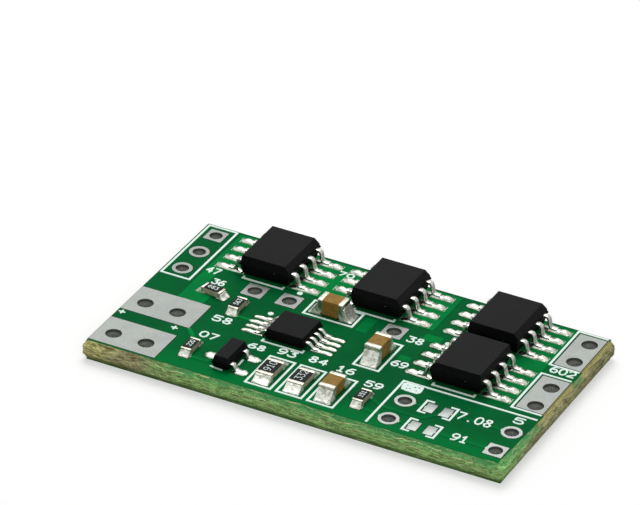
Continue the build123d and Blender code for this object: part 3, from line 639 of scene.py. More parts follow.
class Tone(Enum):
    """The finishes that the pieces are dressed in."""

    MASK = MaskFinish(
        "mask", "mask", linear(2, 95, 46), linear(6, 82, 44), roughness=0.3,
        patch_scale=0.3, grain_scale=3.0, grain_depth=0.003, specular=0.008,
    )
    LAMINATE = LaminateFinish(
        "laminate", "laminate", linear(204, 200, 150), linear(164, 158, 116), roughness=0.7,
        patch_scale=0.9, grain_depth=0.03, specular=0.05,
    )
    COPPER = Finish(
        "tinned_copper", "copper", linear(176, 180, 172), linear(164, 168, 158), roughness=0.5,
        metallic=1.0, grain_depth=0.001,
    )
    LAND = LandFinish(
        "land", "tinned_land", linear(139, 143, 139), linear(131, 135, 132), roughness=0.5,
        metallic=1.0, patch_scale=0.9, grain_scale=9.0, grain_depth=0.002,
    )
    BRIGHT_LAND = LandFinish(
        "bright_land", "tinned_land", linear(156, 161, 156), linear(146, 151, 147), roughness=0.5,
        metallic=1.0, patch_scale=0.9, grain_scale=9.0, grain_depth=0.002,
    )
    SOLDER = Finish(
        "solder", "solder", linear(222, 225, 211), linear(142, 146, 130), roughness=0.22,
        metallic=1.0, patch_scale=3.2, patch_amount=0.72, grain_scale=5.0, grain_depth=0.007,
    )
    CHIP_SOLDER = Finish(
        "chip_solder", "solder", linear(236, 238, 227), linear(134, 138, 122), roughness=0.34,
        metallic=0.66, patch_scale=3.2, patch_amount=0.78, grain_scale=5.0, grain_depth=0.012,
    )
    LEAD = Finish(
        "lead", "lead", linear(198, 199, 192), linear(158, 159, 152), roughness=0.28,
        metallic=1.0, patch_scale=3.5, grain_scale=14.0, grain_depth=0.002,
    )
    PACKAGE = PlasticFinish(
        "package", "package", linear(7, 8, 8), linear(11, 12, 11), roughness=0.5,
        patch_scale=0.8, grain_scale=16.0, grain_depth=0.004, specular=0.055,
    )
    CERAMIC = Finish(
        "ceramic", "ceramic", linear(168, 166, 144), linear(138, 136, 112), roughness=0.5,
        patch_scale=3.0, grain_scale=20.0, grain_depth=0.002, specular=0.1,
    )
    CAPACITOR = Finish(
        "capacitor", "capacitor", linear(146, 114, 50), linear(122, 90, 38), roughness=0.42,
        patch_scale=2.5, grain_scale=18.0, grain_depth=0.002, specular=0.08,
    )
    GLAZE = Finish(
        "glaze", "glaze", linear(8, 8, 8), linear(15, 15, 14), roughness=0.35,
        patch_scale=3.0, grain_scale=10.0, grain_depth=0.001, specular=0.08,
    )
    CAP = Finish(
        "cap", "cap", linear(208, 206, 190), linear(158, 154, 134), roughness=0.32,
        metallic=1.0, patch_scale=3.2, patch_amount=0.7, grain_scale=6.0, grain_depth=0.005,
    )
    PRINT = Finish(
        "print", "print", linear(232, 248, 240), linear(222, 243, 234), roughness=0.7,
        patch_scale=1.6, grain_scale=14.0, grain_depth=0.003, specular=0.02,
    )


class Wardrobe:
    """Makes each finish once and hands it out."""

    def __init__(self) -> None:
        """Start with the shared effects and no material."""
        self.effects = Effects()
        self.made: dict[Tone, bpy.types.Material] = {}

    def material(self, tone: Tone) -> bpy.types.Material:
        """The material of a tone, made when first asked for."""
        if tone not in self.made:
            self.made[tone] = tone.value.make(self.effects)
        return self.made[tone]

    def dress_node(self, node: bpy.types.Object, tone: Tone) -> None:
        """Give a CAD node a finish in its own material slots."""
        node.data.materials.clear()
        node.data.materials.append(self.material(tone))
        LOG.info("dressed %s in %s", node.name, tone.value.name)


# Mesh building


def strip_faces(bands: int, count: int, closed: bool = True) -> list[tuple[int, ...]]:
    """Faces between rows of points that all have the same count.

    Args:
        bands: Bands between the rows.
        count: Points in a row.
        closed: Whether each row is a ring.

    Returns:
        Four-sided faces, as indices of points.
    """
    faces = []
    for band in range(bands):
        low, high = band * count, (band + 1) * count
        for index in range(count if closed else count - 1):
            after = (index + 1) % count
            faces.append((low + index, low + after, high + after, high + index))
    return faces


class Shape:
    """A mesh in millimetres that is being put together."""

    def __init__(self) -> None:
        """Start empty."""
        self.points: list[Vector] = []
        self.faces: list[tuple[int, ...]] = []

    def add(self, points: Sequence, faces: Sequence, place: Matrix | None = None) -> None:
        """Add points and faces, moved by a placing."""
        start = len(self.points)
        move = place or Matrix.Identity(4)
        self.points.extend(move @ Vector(point) for point in points)
        self.faces.extend(tuple(index + start for index in face) for face in faces)

    def join(self, other: "Shape", place: Matrix | None = None) -> None:
        """Add another shape, moved by a placing."""
        self.add(other.points, other.faces, place)

    def placed(self, place: Matrix) -> "Shape":
        """A copy, moved by a placing."""
        moved = Shape()
        moved.join(self, place)
        return moved

    def rounded(self, width: float, steps: int = 2, least_turn: float = 25.0) -> "Shape":
        """The same shape with its sharp edges rounded.

        Args:
            width: How far the rounding reaches from an edge.
            steps: Faces across each rounding.
            least_turn: Least angle, in degrees, between faces whose edge is rounded.

        Returns:
            A new shape.
        """
        mesh = bmesh.new()
        corners = [mesh.verts.new(point) for point in self.points]
        for face in self.faces:
            mesh.faces.new([corners[index] for index in face])
        bmesh.ops.remove_doubles(mesh, verts=mesh.verts, dist=1e-5)
        bmesh.ops.recalc_face_normals(mesh, faces=mesh.faces)
        limit = math.radians(least_turn)
        joined = [edge for edge in mesh.edges if len(edge.link_faces) == 2]
        edges = [edge for edge in joined if edge.calc_face_angle() > limit]
        bmesh.ops.bevel(mesh, geom=edges, offset=width, segments=steps, profile=0.5, affect="EDGES")
        return taken_from(mesh)


def taken_from(mesh: bmesh.types.BMesh) -> Shape:
    """The shape of a finished bmesh, which is freed."""
    mesh.verts.index_update()
    shape = Shape()
    shape.add([vert.co for vert in mesh.verts], [[v.index for v in face.verts] for face in mesh.faces])
    mesh.free()
    return shape


def box_shape(low: Point3, high: Point3) -> Shape:
    """Closed box between two corners."""
    corners = [(x, y, z) for x in (low[0], high[0]) for y in (low[1], high[1]) for z in (low[2], high[2])]
    faces = [(0, 1, 3, 2), (4, 6, 7, 5), (0, 4, 5, 1), (2, 3, 7, 6), (0, 2, 6, 4), (1, 5, 7, 3)]
    shape = Shape()
    shape.add(corners, faces)
    return shape


def hull_shape(points: Sequence[Point3]) -> Shape:
    """Convex hull of some points, with its flat faces joined."""
    mesh = bmesh.new()
    for point in points:
        mesh.verts.new(point)
    made = bmesh.ops.convex_hull(mesh, input=mesh.verts)
    spare = [item for item in made["geom_interior"] if isinstance(item, bmesh.types.BMVert)]
    bmesh.ops.delete(mesh, geom=spare, context="VERTS")
    bmesh.ops.dissolve_limit(mesh, angle_limit=math.radians(1), verts=mesh.verts, edges=mesh.edges)
    return taken_from(mesh)


def turned(x: float, y: float, z: float = 0.0, degrees: float = 0.0) -> Matrix:
    """Placing that turns about the vertical and then moves."""
    return Matrix.Translation((x, y, z)) @ Matrix.Rotation(math.radians(degrees), 4, "Z")


@dataclass
class Workshop:
    """Turns shapes into dressed pieces that ride on the board."""

    wardrobe: Wardrobe

    def piece(
        self, name: str, shape: Shape, tone: Tone, replaces: Sequence[str] = (), sharp_from: float = 35.0
    ) -> None:
        """Make a piece from a shape.

        Args:
            name: Name of the piece.
            shape: Its mesh, in millimetres.
            tone: Its finish.
            replaces: CAD nodes that it stands for.
            sharp_from: Angle, in degrees, from which an edge is shaded sharp.
        """
        mesh = bpy.data.meshes.new(name)
        mesh.from_pydata([point * MM for point in shape.points], [], shape.faces)
        work = bmesh.new()
        work.from_mesh(mesh)
        bmesh.ops.remove_doubles(work, verts=work.verts, dist=1e-8)
        bmesh.ops.recalc_face_normals(work, faces=work.faces)
        work.to_mesh(mesh)
        work.free()
        mesh.shade_smooth()
        mesh.set_sharp_from_angle(angle=math.radians(sharp_from))
        mesh.materials.append(self.wardrobe.material(tone))
        made = bpy.data.objects.new(name, mesh)
        bpy.context.scene.collection.objects.link(made)
        even = made.modifiers.new("even_shading", "WEIGHTED_NORMAL")
        even.keep_sharp = True
        even.weight = 100
        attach(made, BODY)
        if replaces:
            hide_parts(*replaces)
        LOG.info("made %s with %d faces", name, len(mesh.polygons))

    def stand_in(self, node: str, shape: Shape, tone: Tone, sharp_from: float = 35.0) -> None:
        """Make the finer piece that stands for one CAD node, from its shape in millimetres."""
        self.piece(f"fine_{node}", shape, tone, [node], sharp_from)


# Outlines that can be drawn smaller, for rounded borders


def rounded_box_loop(width: float, depth: float, radius: float, steps: int = 4) -> Loop:
    """Outline of a rectangle with rounded corners, about the origin."""
    loop: Loop = []
    for corner in range(4):
        sign_x = 1 if corner in (0, 3) else -1
        sign_y = 1 if corner in (0, 1) else -1
        centre = (sign_x * (width / 2 - radius), sign_y * (depth / 2 - radius))
        for step in range(steps + 1):
            angle = math.radians(90 * (corner + step / steps))
            loop.append((centre[0] + radius * math.cos(angle), centre[1] + radius * math.sin(angle)))
    return loop


def circle_loop(radius: float, centre: Point2, steps: int = 48) -> Loop:
    """Circle about a centre."""
    loop: Loop = []
    for step in range(steps):
        angle = 2 * math.pi * step / steps
        loop.append((radius * math.cos(angle) + centre[0], radius * math.sin(angle) + centre[1]))
    return loop


@dataclass
class Plate:
    """A plate with holes, built from outlines at several levels.

    Attributes:
        rim: Levels from the underside to the top: height and outline of each.
        bores: For each hole, levels from the top to the underside: height and outline.
    """

    rim: Levels
    bores: list[Levels] = field(default_factory=list)

    def shape(self) -> Shape:
        """The whole plate, closed."""
        shape = Shape()
        for levels in (self.rim, *self.bores):
            add_wall(shape, levels)
        add_lid(shape, self.rim[-1], [bore[0][1] for bore in self.bores])
        add_lid(shape, self.rim[0], [bore[-1][1] for bore in self.bores])
        return shape


def add_wall(shape: Shape, levels: Levels) -> None:
    """Add the wall through all the levels of one outline."""
    points = [(x, y, height) for height, loop in levels for x, y in loop]
    shape.add(points, strip_faces(len(levels) - 1, len(levels[0][1])))


def add_lid(shape: Shape, level: tuple[float, Loop], holes: list[Loop]) -> None:
    """Add a flat face between the outline of a level and its holes."""
    height, outer = level
    loops = [[Vector((x, y, height)) for x, y in loop] for loop in [outer, *holes]]
    flat = [point for loop in loops for point in loop]
    shape.add(flat, [tuple(face) for face in tessellate_polygon(loops)])


@dataclass
class LandPlan:
    """A land's outline and its holes.

    Attributes:
        outline: Draws the outline, smaller by an inset.
        holes: Centres of its holes.
        hole_radius: Radius of each.
        border_round: Radius of the rounding along its border.
        knee: Radius of the rounding into a hole.
        round_steps: Faces across a rounding.
    """

    outline: Callable[[float], Loop]
    holes: list[Point2]
    hole_radius: float
    border_round: float = 0.02
    knee: float = 0.03
    round_steps: int = 3

    def curve(self) -> list[Point2]:
        """Points of a quarter round of radius 1, as distances from its two tangents' far ends."""
        angles = [math.pi / 2 * step / self.round_steps for step in range(self.round_steps + 1)]
        return [(1 - math.sin(angle), 1 - math.cos(angle)) for angle in angles]

    def border(self, foot: float, face: float, inward: int) -> Levels:
        """Levels of the border from the laminate to a face, where inward points to the laminate."""
        size = self.border_round
        levels = [(foot, self.outline(0.0))]
        for drop, inset in self.curve():
            levels.append((face + inward * size * drop, self.outline(size * inset)))
        return levels

    def bore(self, centre: Point2) -> Levels:
        """Levels of a plated hole from the upper face to the lower one."""
        rings = []
        for widening, depth in self.curve():
            ring = circle_loop(self.hole_radius + self.knee * widening, centre)
            rings.append((self.knee * depth, ring))
        return [(LAND_TOP - depth, ring) for depth, ring in rings] + rings[::-1]

    def sleeve(self, centre: Point2) -> Levels:
        """Outer face of a hole's metal, in the laminate."""
        ring = circle_loop(self.hole_radius + PLATING, centre)
        return [(CORE_TOP, ring), (CORE_BOTTOM, ring)]

    def shape(self) -> Shape:
        """Both faces of the land and the plated holes that join them, as one closed mesh."""
        top = self.border(CORE_TOP, LAND_TOP, -1)
        bottom = self.border(CORE_BOTTOM, 0.0, 1)
        bores = [self.bore(centre) for centre in self.holes]
        sleeves = [self.sleeve(centre) for centre in self.holes]
        shape = Shape()
        for levels in (top, bottom, *bores, *sleeves):
            add_wall(shape, levels)
        add_lid(shape, top[-1], [bore[0][1] for bore in bores])
        add_lid(shape, bottom[-1], [bore[-1][1] for bore in bores])
        add_lid(shape, top[0], [sleeve[0][1] for sleeve in sleeves])
        add_lid(shape, bottom[0], [sleeve[1][1] for sleeve in sleeves])
        return shape


@dataclass(frozen=True)
class Drilling:
    """Places of the drilled holes, measured from the board's borders and the CAD nodes' boxes."""

    edge: float = 1.27
    pitch: float = 2.54
    panel_setback: float = 1.4
    battery_inset: float = 1.16
    battery_setbacks: tuple[float, float] = (1.03, 1.2)
    test_side: float = 1.6
    test_gap: float = 2.7
    option_outer: float = 0.75
    header_radius: float = 0.475
    terminal_radius: float = 0.575
    test_radius: float = 0.525
    option_radius: float = 0.5

    @property
    def left(self) -> float:
        """Column of the holes along the left edge."""
        return self.edge - BOARD_LENGTH / 2

    @property
    def front(self) -> float:
        """Row of the holes along the front edge."""
        return self.edge - BOARD_WIDTH / 2

    @property
    def right(self) -> float:
        """Column of the holes along the right edge."""
        return node_box(BATTERY_LANDS[0])[0].x + self.battery_inset

    def header(self) -> list[Point2]:
        """Three header holes, the back one first."""
        back = BOARD_WIDTH / 2 - self.edge
        return [(self.left, back - row * self.pitch) for row in range(3)]

    def terminals(self) -> dict[str, list[Point2]]:
        """The two holes of each panel land and of each battery land."""
        places = {}
        for name in PANEL_LANDS:
            row = node_box(name)[0].y + self.panel_setback
            places[name] = [(x, row) for x in (self.left, self.left + self.pitch)]
        for name, setback in zip(BATTERY_LANDS, self.battery_setbacks):
            back = node_box(name)[1].y - setback
            places[name] = [(self.right, y) for y in (back, back - self.pitch)]
        return places

    def tests(self) -> list[Point2]:
        """The holes of the middle row."""
        low, high = node_box("test_lands")
        first = low.x + self.test_side / 2
        row = (low.y + high.y) / 2
        return [(x, row) for x in (first, first + self.test_gap, high.x - self.test_side / 2)]

    def options(self) -> list[Point2]:
        """Three holes with round lands, then the one with a square land."""
        left = node_box("option_lands")[0].x + self.option_outer
        back = self.front + self.pitch
        return [(left, self.front), (left, back), (self.right, back), (self.right, self.front)]

    def every(self) -> list[tuple[Point2, float]]:
        """Centre and bare radius of every hole in the laminate."""
        holes = [(place, self.header_radius) for place in self.header()]
        for places in self.terminals().values():
            holes += [(place, self.terminal_radius) for place in places]
        holes += [(place, self.test_radius) for place in self.tests()]
        holes += [(place, self.option_radius) for place in self.options()]
        return [(place, radius + PLATING) for place, radius in holes]


@dataclass
class Lands:
    """The plated wire lands and the bare lands of the board."""

    workshop: Workshop
    drilling: Drilling
    corner_radius: float = 0.05
    square_side: float = 1.42
    jumper_size: Point2 = (0.72, 1.1)
    jumper_round: float = 0.02
    sharp_from: float = 12.0

    def rectangle(self, low: Point2, high: Point2, holes: list[Point2], radius: float) -> LandPlan:
        """Plan of a rectangular land between two corners."""
        centre = ((low[0] + high[0]) / 2, (low[1] + high[1]) / 2)
        size = (high[0] - low[0], high[1] - low[1])

        def outline(inset: float) -> Loop:
            """The rectangle, smaller by an inset."""
            loop = rounded_box_loop(size[0] - 2 * inset, size[1] - 2 * inset, self.corner_radius)
            return [(x + centre[0], y + centre[1]) for x, y in loop]

        return LandPlan(outline, holes, radius)

    def square(self, centre: Point2, side: float, radius: float) -> LandPlan:
        """Plan of a square land about its hole."""
        half = side / 2
        low = (centre[0] - half, centre[1] - half)
        high = (centre[0] + half, centre[1] + half)
        return self.rectangle(low, high, [centre], radius)

    def ring(self, centre: Point2, radius: float) -> LandPlan:
        """Plan of a round land about its hole."""
        outer = self.drilling.option_outer
        return LandPlan(lambda inset: circle_loop(outer - inset, centre), [centre], radius)

    def build(self) -> None:
        """Make every land."""
        drilling = self.drilling
        for name, holes in drilling.terminals().items():
            low, high = node_box(name)
            self.group(name, [self.rectangle(low.xy, high.xy, holes, drilling.terminal_radius)])
        first, *others = drilling.header()
        header = [self.square(first, self.square_side, drilling.header_radius)]
        header += [self.ring(place, drilling.header_radius) for place in others]
        self.group("header_lands", header)
        tests = [self.square(place, drilling.test_side, drilling.test_radius) for place in drilling.tests()]
        self.group("test_lands", tests)
        *round_ones, last = drilling.options()
        options = [self.ring(place, drilling.option_radius) for place in round_ones]
        options.append(self.square(last, self.square_side, drilling.option_radius))
        self.group("option_lands", options, Tone.BRIGHT_LAND)
        self.build_jumpers()

    def group(self, name: str, plans: list[LandPlan], tone: Tone = Tone.LAND) -> None:
        """Make one piece of several lands."""
        shape = Shape()
        for plan in plans:
            shape.join(plan.shape())
        self.workshop.stand_in(name, shape, tone, self.sharp_from)

    def build_jumpers(self) -> None:
        """Four bare lands with rounded borders."""
        low, high = node_box("jumper_lands")
        width, depth = self.jumper_size
        shape = Shape()
        for x in (low.x, high.x - width):
            for y in (low.y, high.y - depth):
                block = box_shape((x, y, CORE_TOP), (x + width, y + depth, LAND_TOP))
                shape.join(block.rounded(self.jumper_round))
        self.workshop.stand_in("jumper_lands", shape, Tone.BRIGHT_LAND)


@dataclass
class Core:
    """The glass laminate with its scored and broken edges.

    Attributes:
        workshop: Makes the piece.
        run: How far the broken web stands out between the score lines.
        score_depth: Depth of a score line.
        skew_reach: How far the upper score line runs in at the front right corner.
        skew_length: Length of the right edge over which it does.
        corner_face: Radius of the corners at the faces.
        corner_web: Radius of the corners of the web.
        spacing: Distance of points along the edge.
        rows: Rows of faces up the edge.
        rough: How deep fibres broke away.
        quiet_top: Depth under the top face over which the edge turns smooth.
        quiet_foot: Height over the underside over which it does.
        hole_steps: Corners of a drilled hole.
        sharp_from: Angle, in degrees, from which an edge is shaded sharp.
    """

    workshop: Workshop
    run: float = 0.3
    score_depth: float = 0.45
    skew_reach: float = 0.28
    skew_length: float = 6.6
    corner_face: float = 0.16
    corner_web: float = 0.38
    spacing: float = 0.12
    rows: int = 20
    rough: float = 0.05
    quiet_top: float = 0.2
    quiet_foot: float = 0.1
    hole_steps: int = 32
    sharp_from: float = 60.0

    def outline(self, grow: float, radius: float) -> Loop:
        """Outline of the board, grown, with evenly spaced points."""
        corners = rounded_box_loop(BOARD_LENGTH + 2 * grow, BOARD_WIDTH + 2 * grow, radius, 8)
        points: Loop = []
        for start, end in zip(corners, corners[1:] + corners[:1]):
            points.append(start)
            if math.dist(start, end) > BOARD_WIDTH / 2:
                side = BOARD_LENGTH if abs(start[1] - end[1]) < radius else BOARD_WIDTH
                pieces = round(side / self.spacing)
                for step in range(1, pieces):
                    share = step / pieces
                    x = start[0] + (end[0] - start[0]) * share
                    points.append((x, start[1] + (end[1] - start[1]) * share))
        return points

    def level(self, share: float) -> tuple[float, Loop]:
        """Height and outline at a share of the way up the edge."""
        height = CORE_BOTTOM + share * (CORE_TOP - CORE_BOTTOM)
        below_top = CORE_TOP - height
        above_foot = height - CORE_BOTTOM
        grow = self.run * min(1.0, below_top / self.score_depth, above_foot / self.score_depth)
        radius = self.corner_face + (self.corner_web - self.corner_face) * grow / self.run
        skew = self.skew_reach * max(0.0, 1 - below_top / self.score_depth)
        loop = [self.skewed(point, skew) for point in self.outline(grow, radius)]
        quiet = min(1.0, below_top / self.quiet_top, above_foot / self.quiet_foot)
        return height, [self.broken(point, height, quiet) for point in loop]

    def skewed(self, point: Point2, skew: float) -> Point2:
        """A point of the outline, moved in where the upper score line runs askew."""
        x, y = point
        share = max(0.0, 1 - (y + BOARD_WIDTH / 2) / self.skew_length)
        near_right = max(0.0, 1 - (BOARD_LENGTH / 2 - x))
        return (x - skew * min(1.0, share) * min(1.0, near_right), y)

    def broken(self, point: Point2, height: float, quiet: float) -> Point2:
        """A point of the edge, set back where fibres broke away."""
        x, y = point
        streak = noise.noise(Vector((x * 0.9, y * 0.9, height * 7.0)))
        chip = noise.noise(Vector((x * 2.6 + 7.0, y * 2.6, height * 4.0)))
        back = max(0.0, quiet * self.rough * (0.5 + 0.9 * streak + 0.5 * chip))
        half_x, half_y = BOARD_LENGTH / 2 - 1, BOARD_WIDTH / 2 - 1
        inner = Vector((max(-half_x, min(half_x, x)), max(-half_y, min(half_y, y))))
        away = Vector((x, y)) - inner
        return tuple(inner + away * (1 - back / max(away.length, 1e-6)))

    def build(self, holes: list[tuple[Point2, float]]) -> None:
        """Make the laminate with its drilled holes."""
        rim = [self.level(row / self.rows) for row in range(self.rows + 1)]
        rings = [circle_loop(radius, centre, self.hole_steps) for centre, radius in holes]
        bores = [[(height, ring) for height in (CORE_TOP, CORE_BOTTOM)] for ring in rings]
        self.workshop.stand_in("laminate", Plate(rim, bores).shape(), Tone.LAMINATE, self.sharp_from)


# Leads, solder and bodies


@dataclass(frozen=True)
class SolderedLand:
    """A land along X for one lead or one end of a chip, with its round-cornered solder.

    Attributes:
        centre: Place of its middle along X.
        half_length: Half its length.
        half_width: Half its width.
        corner: Radius of the solder's corners.
        thinnest: Least half width of the bead, at its two ends.
        fill_sunk: How far the lacquer in the corners reaches under the copper's face.
        fill_height: How far it stands over that face.
    """

    centre: float
    half_length: float
    half_width: float
    corner: float
    thinnest: float = 0.004
    fill_sunk: float = 0.004
    fill_height: float = 0.01

    def fills(self, side: int) -> Shape:
        """Thin lacquer in the four corners of the land, outside its solder."""
        low = FOIL_TOP - LAND_TOP - self.fill_sunk
        high = FOIL_TOP - LAND_TOP + self.fill_height
        shape = Shape()
        for end in (-1, 1):
            for flank in (-1, 1):
                along = self.centre + end * (self.half_length - self.corner)
                across = flank * (self.half_width - self.corner)
                loop = [(side * (along + end * self.corner), across + flank * self.corner)]
                for step in range(7):
                    angle = math.pi / 2 * step / 6
                    x = along + end * self.corner * math.sin(angle)
                    loop.append((side * x, across + flank * self.corner * math.cos(angle)))
                shape.join(Plate([(low, loop), (high, loop)]).shape())
        return shape

    def bead(
        self, side: int, height: Callable[[float, float, float], float], rows: int, columns: int
    ) -> Shape:
        """Bead of solder on the land.

        Args:
            side: 1 towards +X, -1 towards -X.
            height: Height of the bead from the place on it and the distance to its border.
            rows: Faces along the bead.
            columns: Faces across it.

        Returns:
            The bead on its flat base, closed.
        """
        base = FOIL_TOP - LAND_TOP
        points: list[Point3] = []
        straight = self.half_length - self.corner
        inner_width = self.half_width - self.corner
        for row in range(rows + 1):
            x = -math.cos(math.pi * row / rows) * self.half_length
            past = max(0.0, abs(x) - straight)
            half = max(inner_width + math.sqrt(max(0.0, self.corner**2 - past**2)), self.thinnest)
            for column in range(columns + 1):
                y = -math.cos(math.pi * column / columns) * half
                edge = min(half - abs(y), self.half_length - abs(x))
                if past > 0 and abs(y) > inner_width:
                    edge = self.corner - math.hypot(past, abs(y) - inner_width)
                up = base + height(self.centre + x, y, max(0.0, edge))
                points.append((side * (self.centre + x), y, up))
        across = columns + 1
        border = list(range(across))
        border += [row * across + columns for row in range(1, rows + 1)]
        border += [rows * across + column for column in range(columns - 1, -1, -1)]
        border += [row * across for row in range(rows - 1, 0, -1)]
        count = len(points)
        low = [(points[index][0], points[index][1], base) for index in border]
        faces = strip_faces(rows, across, closed=False)
        for index, start in enumerate(border):
            after = (index + 1) % len(border)
            faces.append((start, border[after], count + after, count + index))
        faces.append(tuple(range(count, count + len(border))))
        shape = Shape()
        shape.add(points + low, faces)
        return shape


def round_rim(share: float) -> float:
    """Height of a quarter round at a share of its width from the border."""
    return math.sqrt(max(0.0, 1 - (1 - share) ** 2))


@dataclass(frozen=True)
class Wing:
    """Sizes of one gull-wing lead, its land and its solder.

    Attributes:
        half_body: Half the body's width, where the lead leaves it.
        parting: Height of the body's parting line.
        width: Width of the lead.
        thickness: Its thickness.
        shoulder: How far it runs out before it bends down.
        lean: How far it runs out on its way down.
        toe: Where its foot ends.
        pad_end: Where the land ends.
        pad_length: Length of the land.
        pad_width: Width of the land.
        bend: Reach of the round bends.
        embed: How far the lead reaches into the body.
        coat: Height of the solder over the land.
        mound: Further height of the solder past the toe.
        least: Least height of the solder.
        lump: Height of its unevenness.
    """

    half_body: float
    parting: float
    width: float
    thickness: float
    shoulder: float
    lean: float
    toe: float
    pad_end: float
    pad_length: float
    pad_width: float
    bend: float = 0.22
    embed: float = 0.12
    coat: float = 0.07
    mound: float = 0.06
    least: float = 0.012
    lump: float = 0.014

    @property
    def land(self) -> SolderedLand:
        """The lead's land."""
        half_length, half_width = self.pad_length / 2, self.pad_width / 2
        return SolderedLand(self.pad_end - half_length, half_length, half_width, half_width)

    def path(self) -> list[Vector]:
        """Centre line of the lead from inside the body to the toe, with round bends."""
        shoulder_x = self.half_body + self.shoulder
        foot = self.thickness / 2
        corners = [
            Vector((self.half_body - self.embed, self.parting)),
            Vector((shoulder_x, self.parting)),
            Vector((shoulder_x + self.lean, foot)),
            Vector((self.toe, foot)),
        ]
        bend = min(self.bend, self.shoulder * 0.8, (self.parting - foot) * 0.45)
        line = [corners[0]]
        for before, corner, after in zip(corners, corners[1:], corners[2:]):
            start = corner + (before - corner).normalized() * bend
            end = corner + (after - corner).normalized() * bend
            for step in range(7):
                share = step / 6
                line.append(start * (1 - share) ** 2 + corner * 2 * share * (1 - share) + end * share**2)
        line.append(corners[3])
        return line

    def lead(self, side: int) -> Shape:
        """The lead as a swept strip with softened edges."""
        line = self.path()
        section = rounded_box_loop(self.width, self.thickness, self.thickness * 0.28, 2)
        points: list[Point3] = []
        for index, point in enumerate(line):
            ahead = (line[min(index + 1, len(line) - 1)] - line[max(index - 1, 0)]).normalized()
            for along, up in section:
                points.append((side * (point.x - ahead.y * up), along, point.y + ahead.x * up))
        count = len(section)
        faces = strip_faces(len(line) - 1, count)
        faces.append(tuple(range(count)))
        faces.append(tuple(range(len(points) - count, len(points))))
        shape = Shape()
        shape.add(points, faces)
        return shape

    def solder(self, side: int, seed: float) -> Shape:
        """Bead of solder over the land, which climbs the foot and its toe.

        Args:
            side: 1 for a lead to the right, -1 to the left.
            seed: Shifts the noise, so that no two beads are alike.

        Returns:
            The closed bead.
        """
        half_width = self.pad_width / 2
        heel = self.half_body + self.shoulder + self.lean * 0.5
        spread = 0.2 + 0.15 * noise.noise(Vector((seed, 3.1, 0.7)))

        def height(x: float, y: float, edge: float) -> float:
            """Height of the bead over the copper."""
            rim = min(1.0, edge / (half_width * 0.9))
            past = (x - self.toe) / (self.pad_end - self.toe)
            mound = self.mound * math.exp(-(((past - 0.5) / 0.28) ** 2)) * round_rim(rim)
            gap = math.hypot(max(heel - x, 0.0, x - self.toe), max(0.0, abs(y) - self.width / 2))
            climb = self.thickness * 0.4 * math.exp(-((gap / spread) ** 1.3)) * min(1.0, rim * 1.6)
            lump = self.lump * noise.noise(Vector((x * 2.6 + seed, y * 3, seed * 1.7))) * rim
            return max(self.least, self.coat * round_rim(rim) + mound + climb + lump)

        return self.land.bead(side, height, 26, 12)


@dataclass(frozen=True)
class Moulding:
    """Sizes of a moulded body.

    Attributes:
        width: Width between the leads, at the parting line.
        length: Length along the rows of leads, at the parting line.
        height: Top face over the lands.
        standoff: Lower face over the lands.
        parting: Parting line over the lands.
        draft: How far the upper half leans in.
        bevel: Width of the bevel along one side, if any.
        bevel_drop: Its height.
        edge: Width of the rounded edges.
        flash: How far the flash stands out, and half its thickness.
    """

    width: float
    length: float
    height: float
    standoff: float
    parting: float
    draft: float
    bevel: float = 0.0
    bevel_drop: float = 0.0
    edge: float = 0.045
    flash: float = 0.035

    def shape(self) -> Shape:
        """The body, with draft above and below a thin flash at the parting line, and soft edges."""
        low_draft = self.draft * (self.parting - self.standoff) / (self.height - self.parting)
        half_w, half_l = self.width / 2, self.length / 2
        right = half_w - self.draft
        points = []
        for sign in (-1, 1):
            points += [
                (-half_w + low_draft, sign * (half_l - low_draft), self.standoff),
                (half_w - low_draft, sign * (half_l - low_draft), self.standoff),
                (-half_w, sign * half_l, self.parting),
                (half_w, sign * half_l, self.parting),
                (-half_w + self.draft, sign * (half_l - self.draft), self.height),
                (right - self.bevel, sign * (half_l - self.draft), self.height),
            ]
            if self.bevel:
                out = self.draft * self.bevel_drop / (self.height - self.parting)
                border = (right + out, sign * (half_l - self.draft + out), self.height - self.bevel_drop)
                points.append(border)
        body = hull_shape(points).rounded(self.edge, 3, 8.0)
        line = rounded_box_loop(self.width + 2 * self.flash, self.length + 2 * self.flash, 0.05)
        body.join(Plate([(self.parting - self.flash, line), (self.parting + self.flash, line)]).shape())
        return body


@dataclass(frozen=True)
class PackagePlan:
    """A package's name, body, leads and the places of its leads on each side."""

    name: str
    moulding: Moulding
    wing: Wing
    rows: dict[int, list[float]]
    turn: float = 0.0
    tie_bars: bool = False


def lead_row(pitch: float, count: int = 4) -> list[float]:
    """Places of a row of leads about the middle."""
    return [(index - (count - 1) / 2) * pitch for index in range(count)]


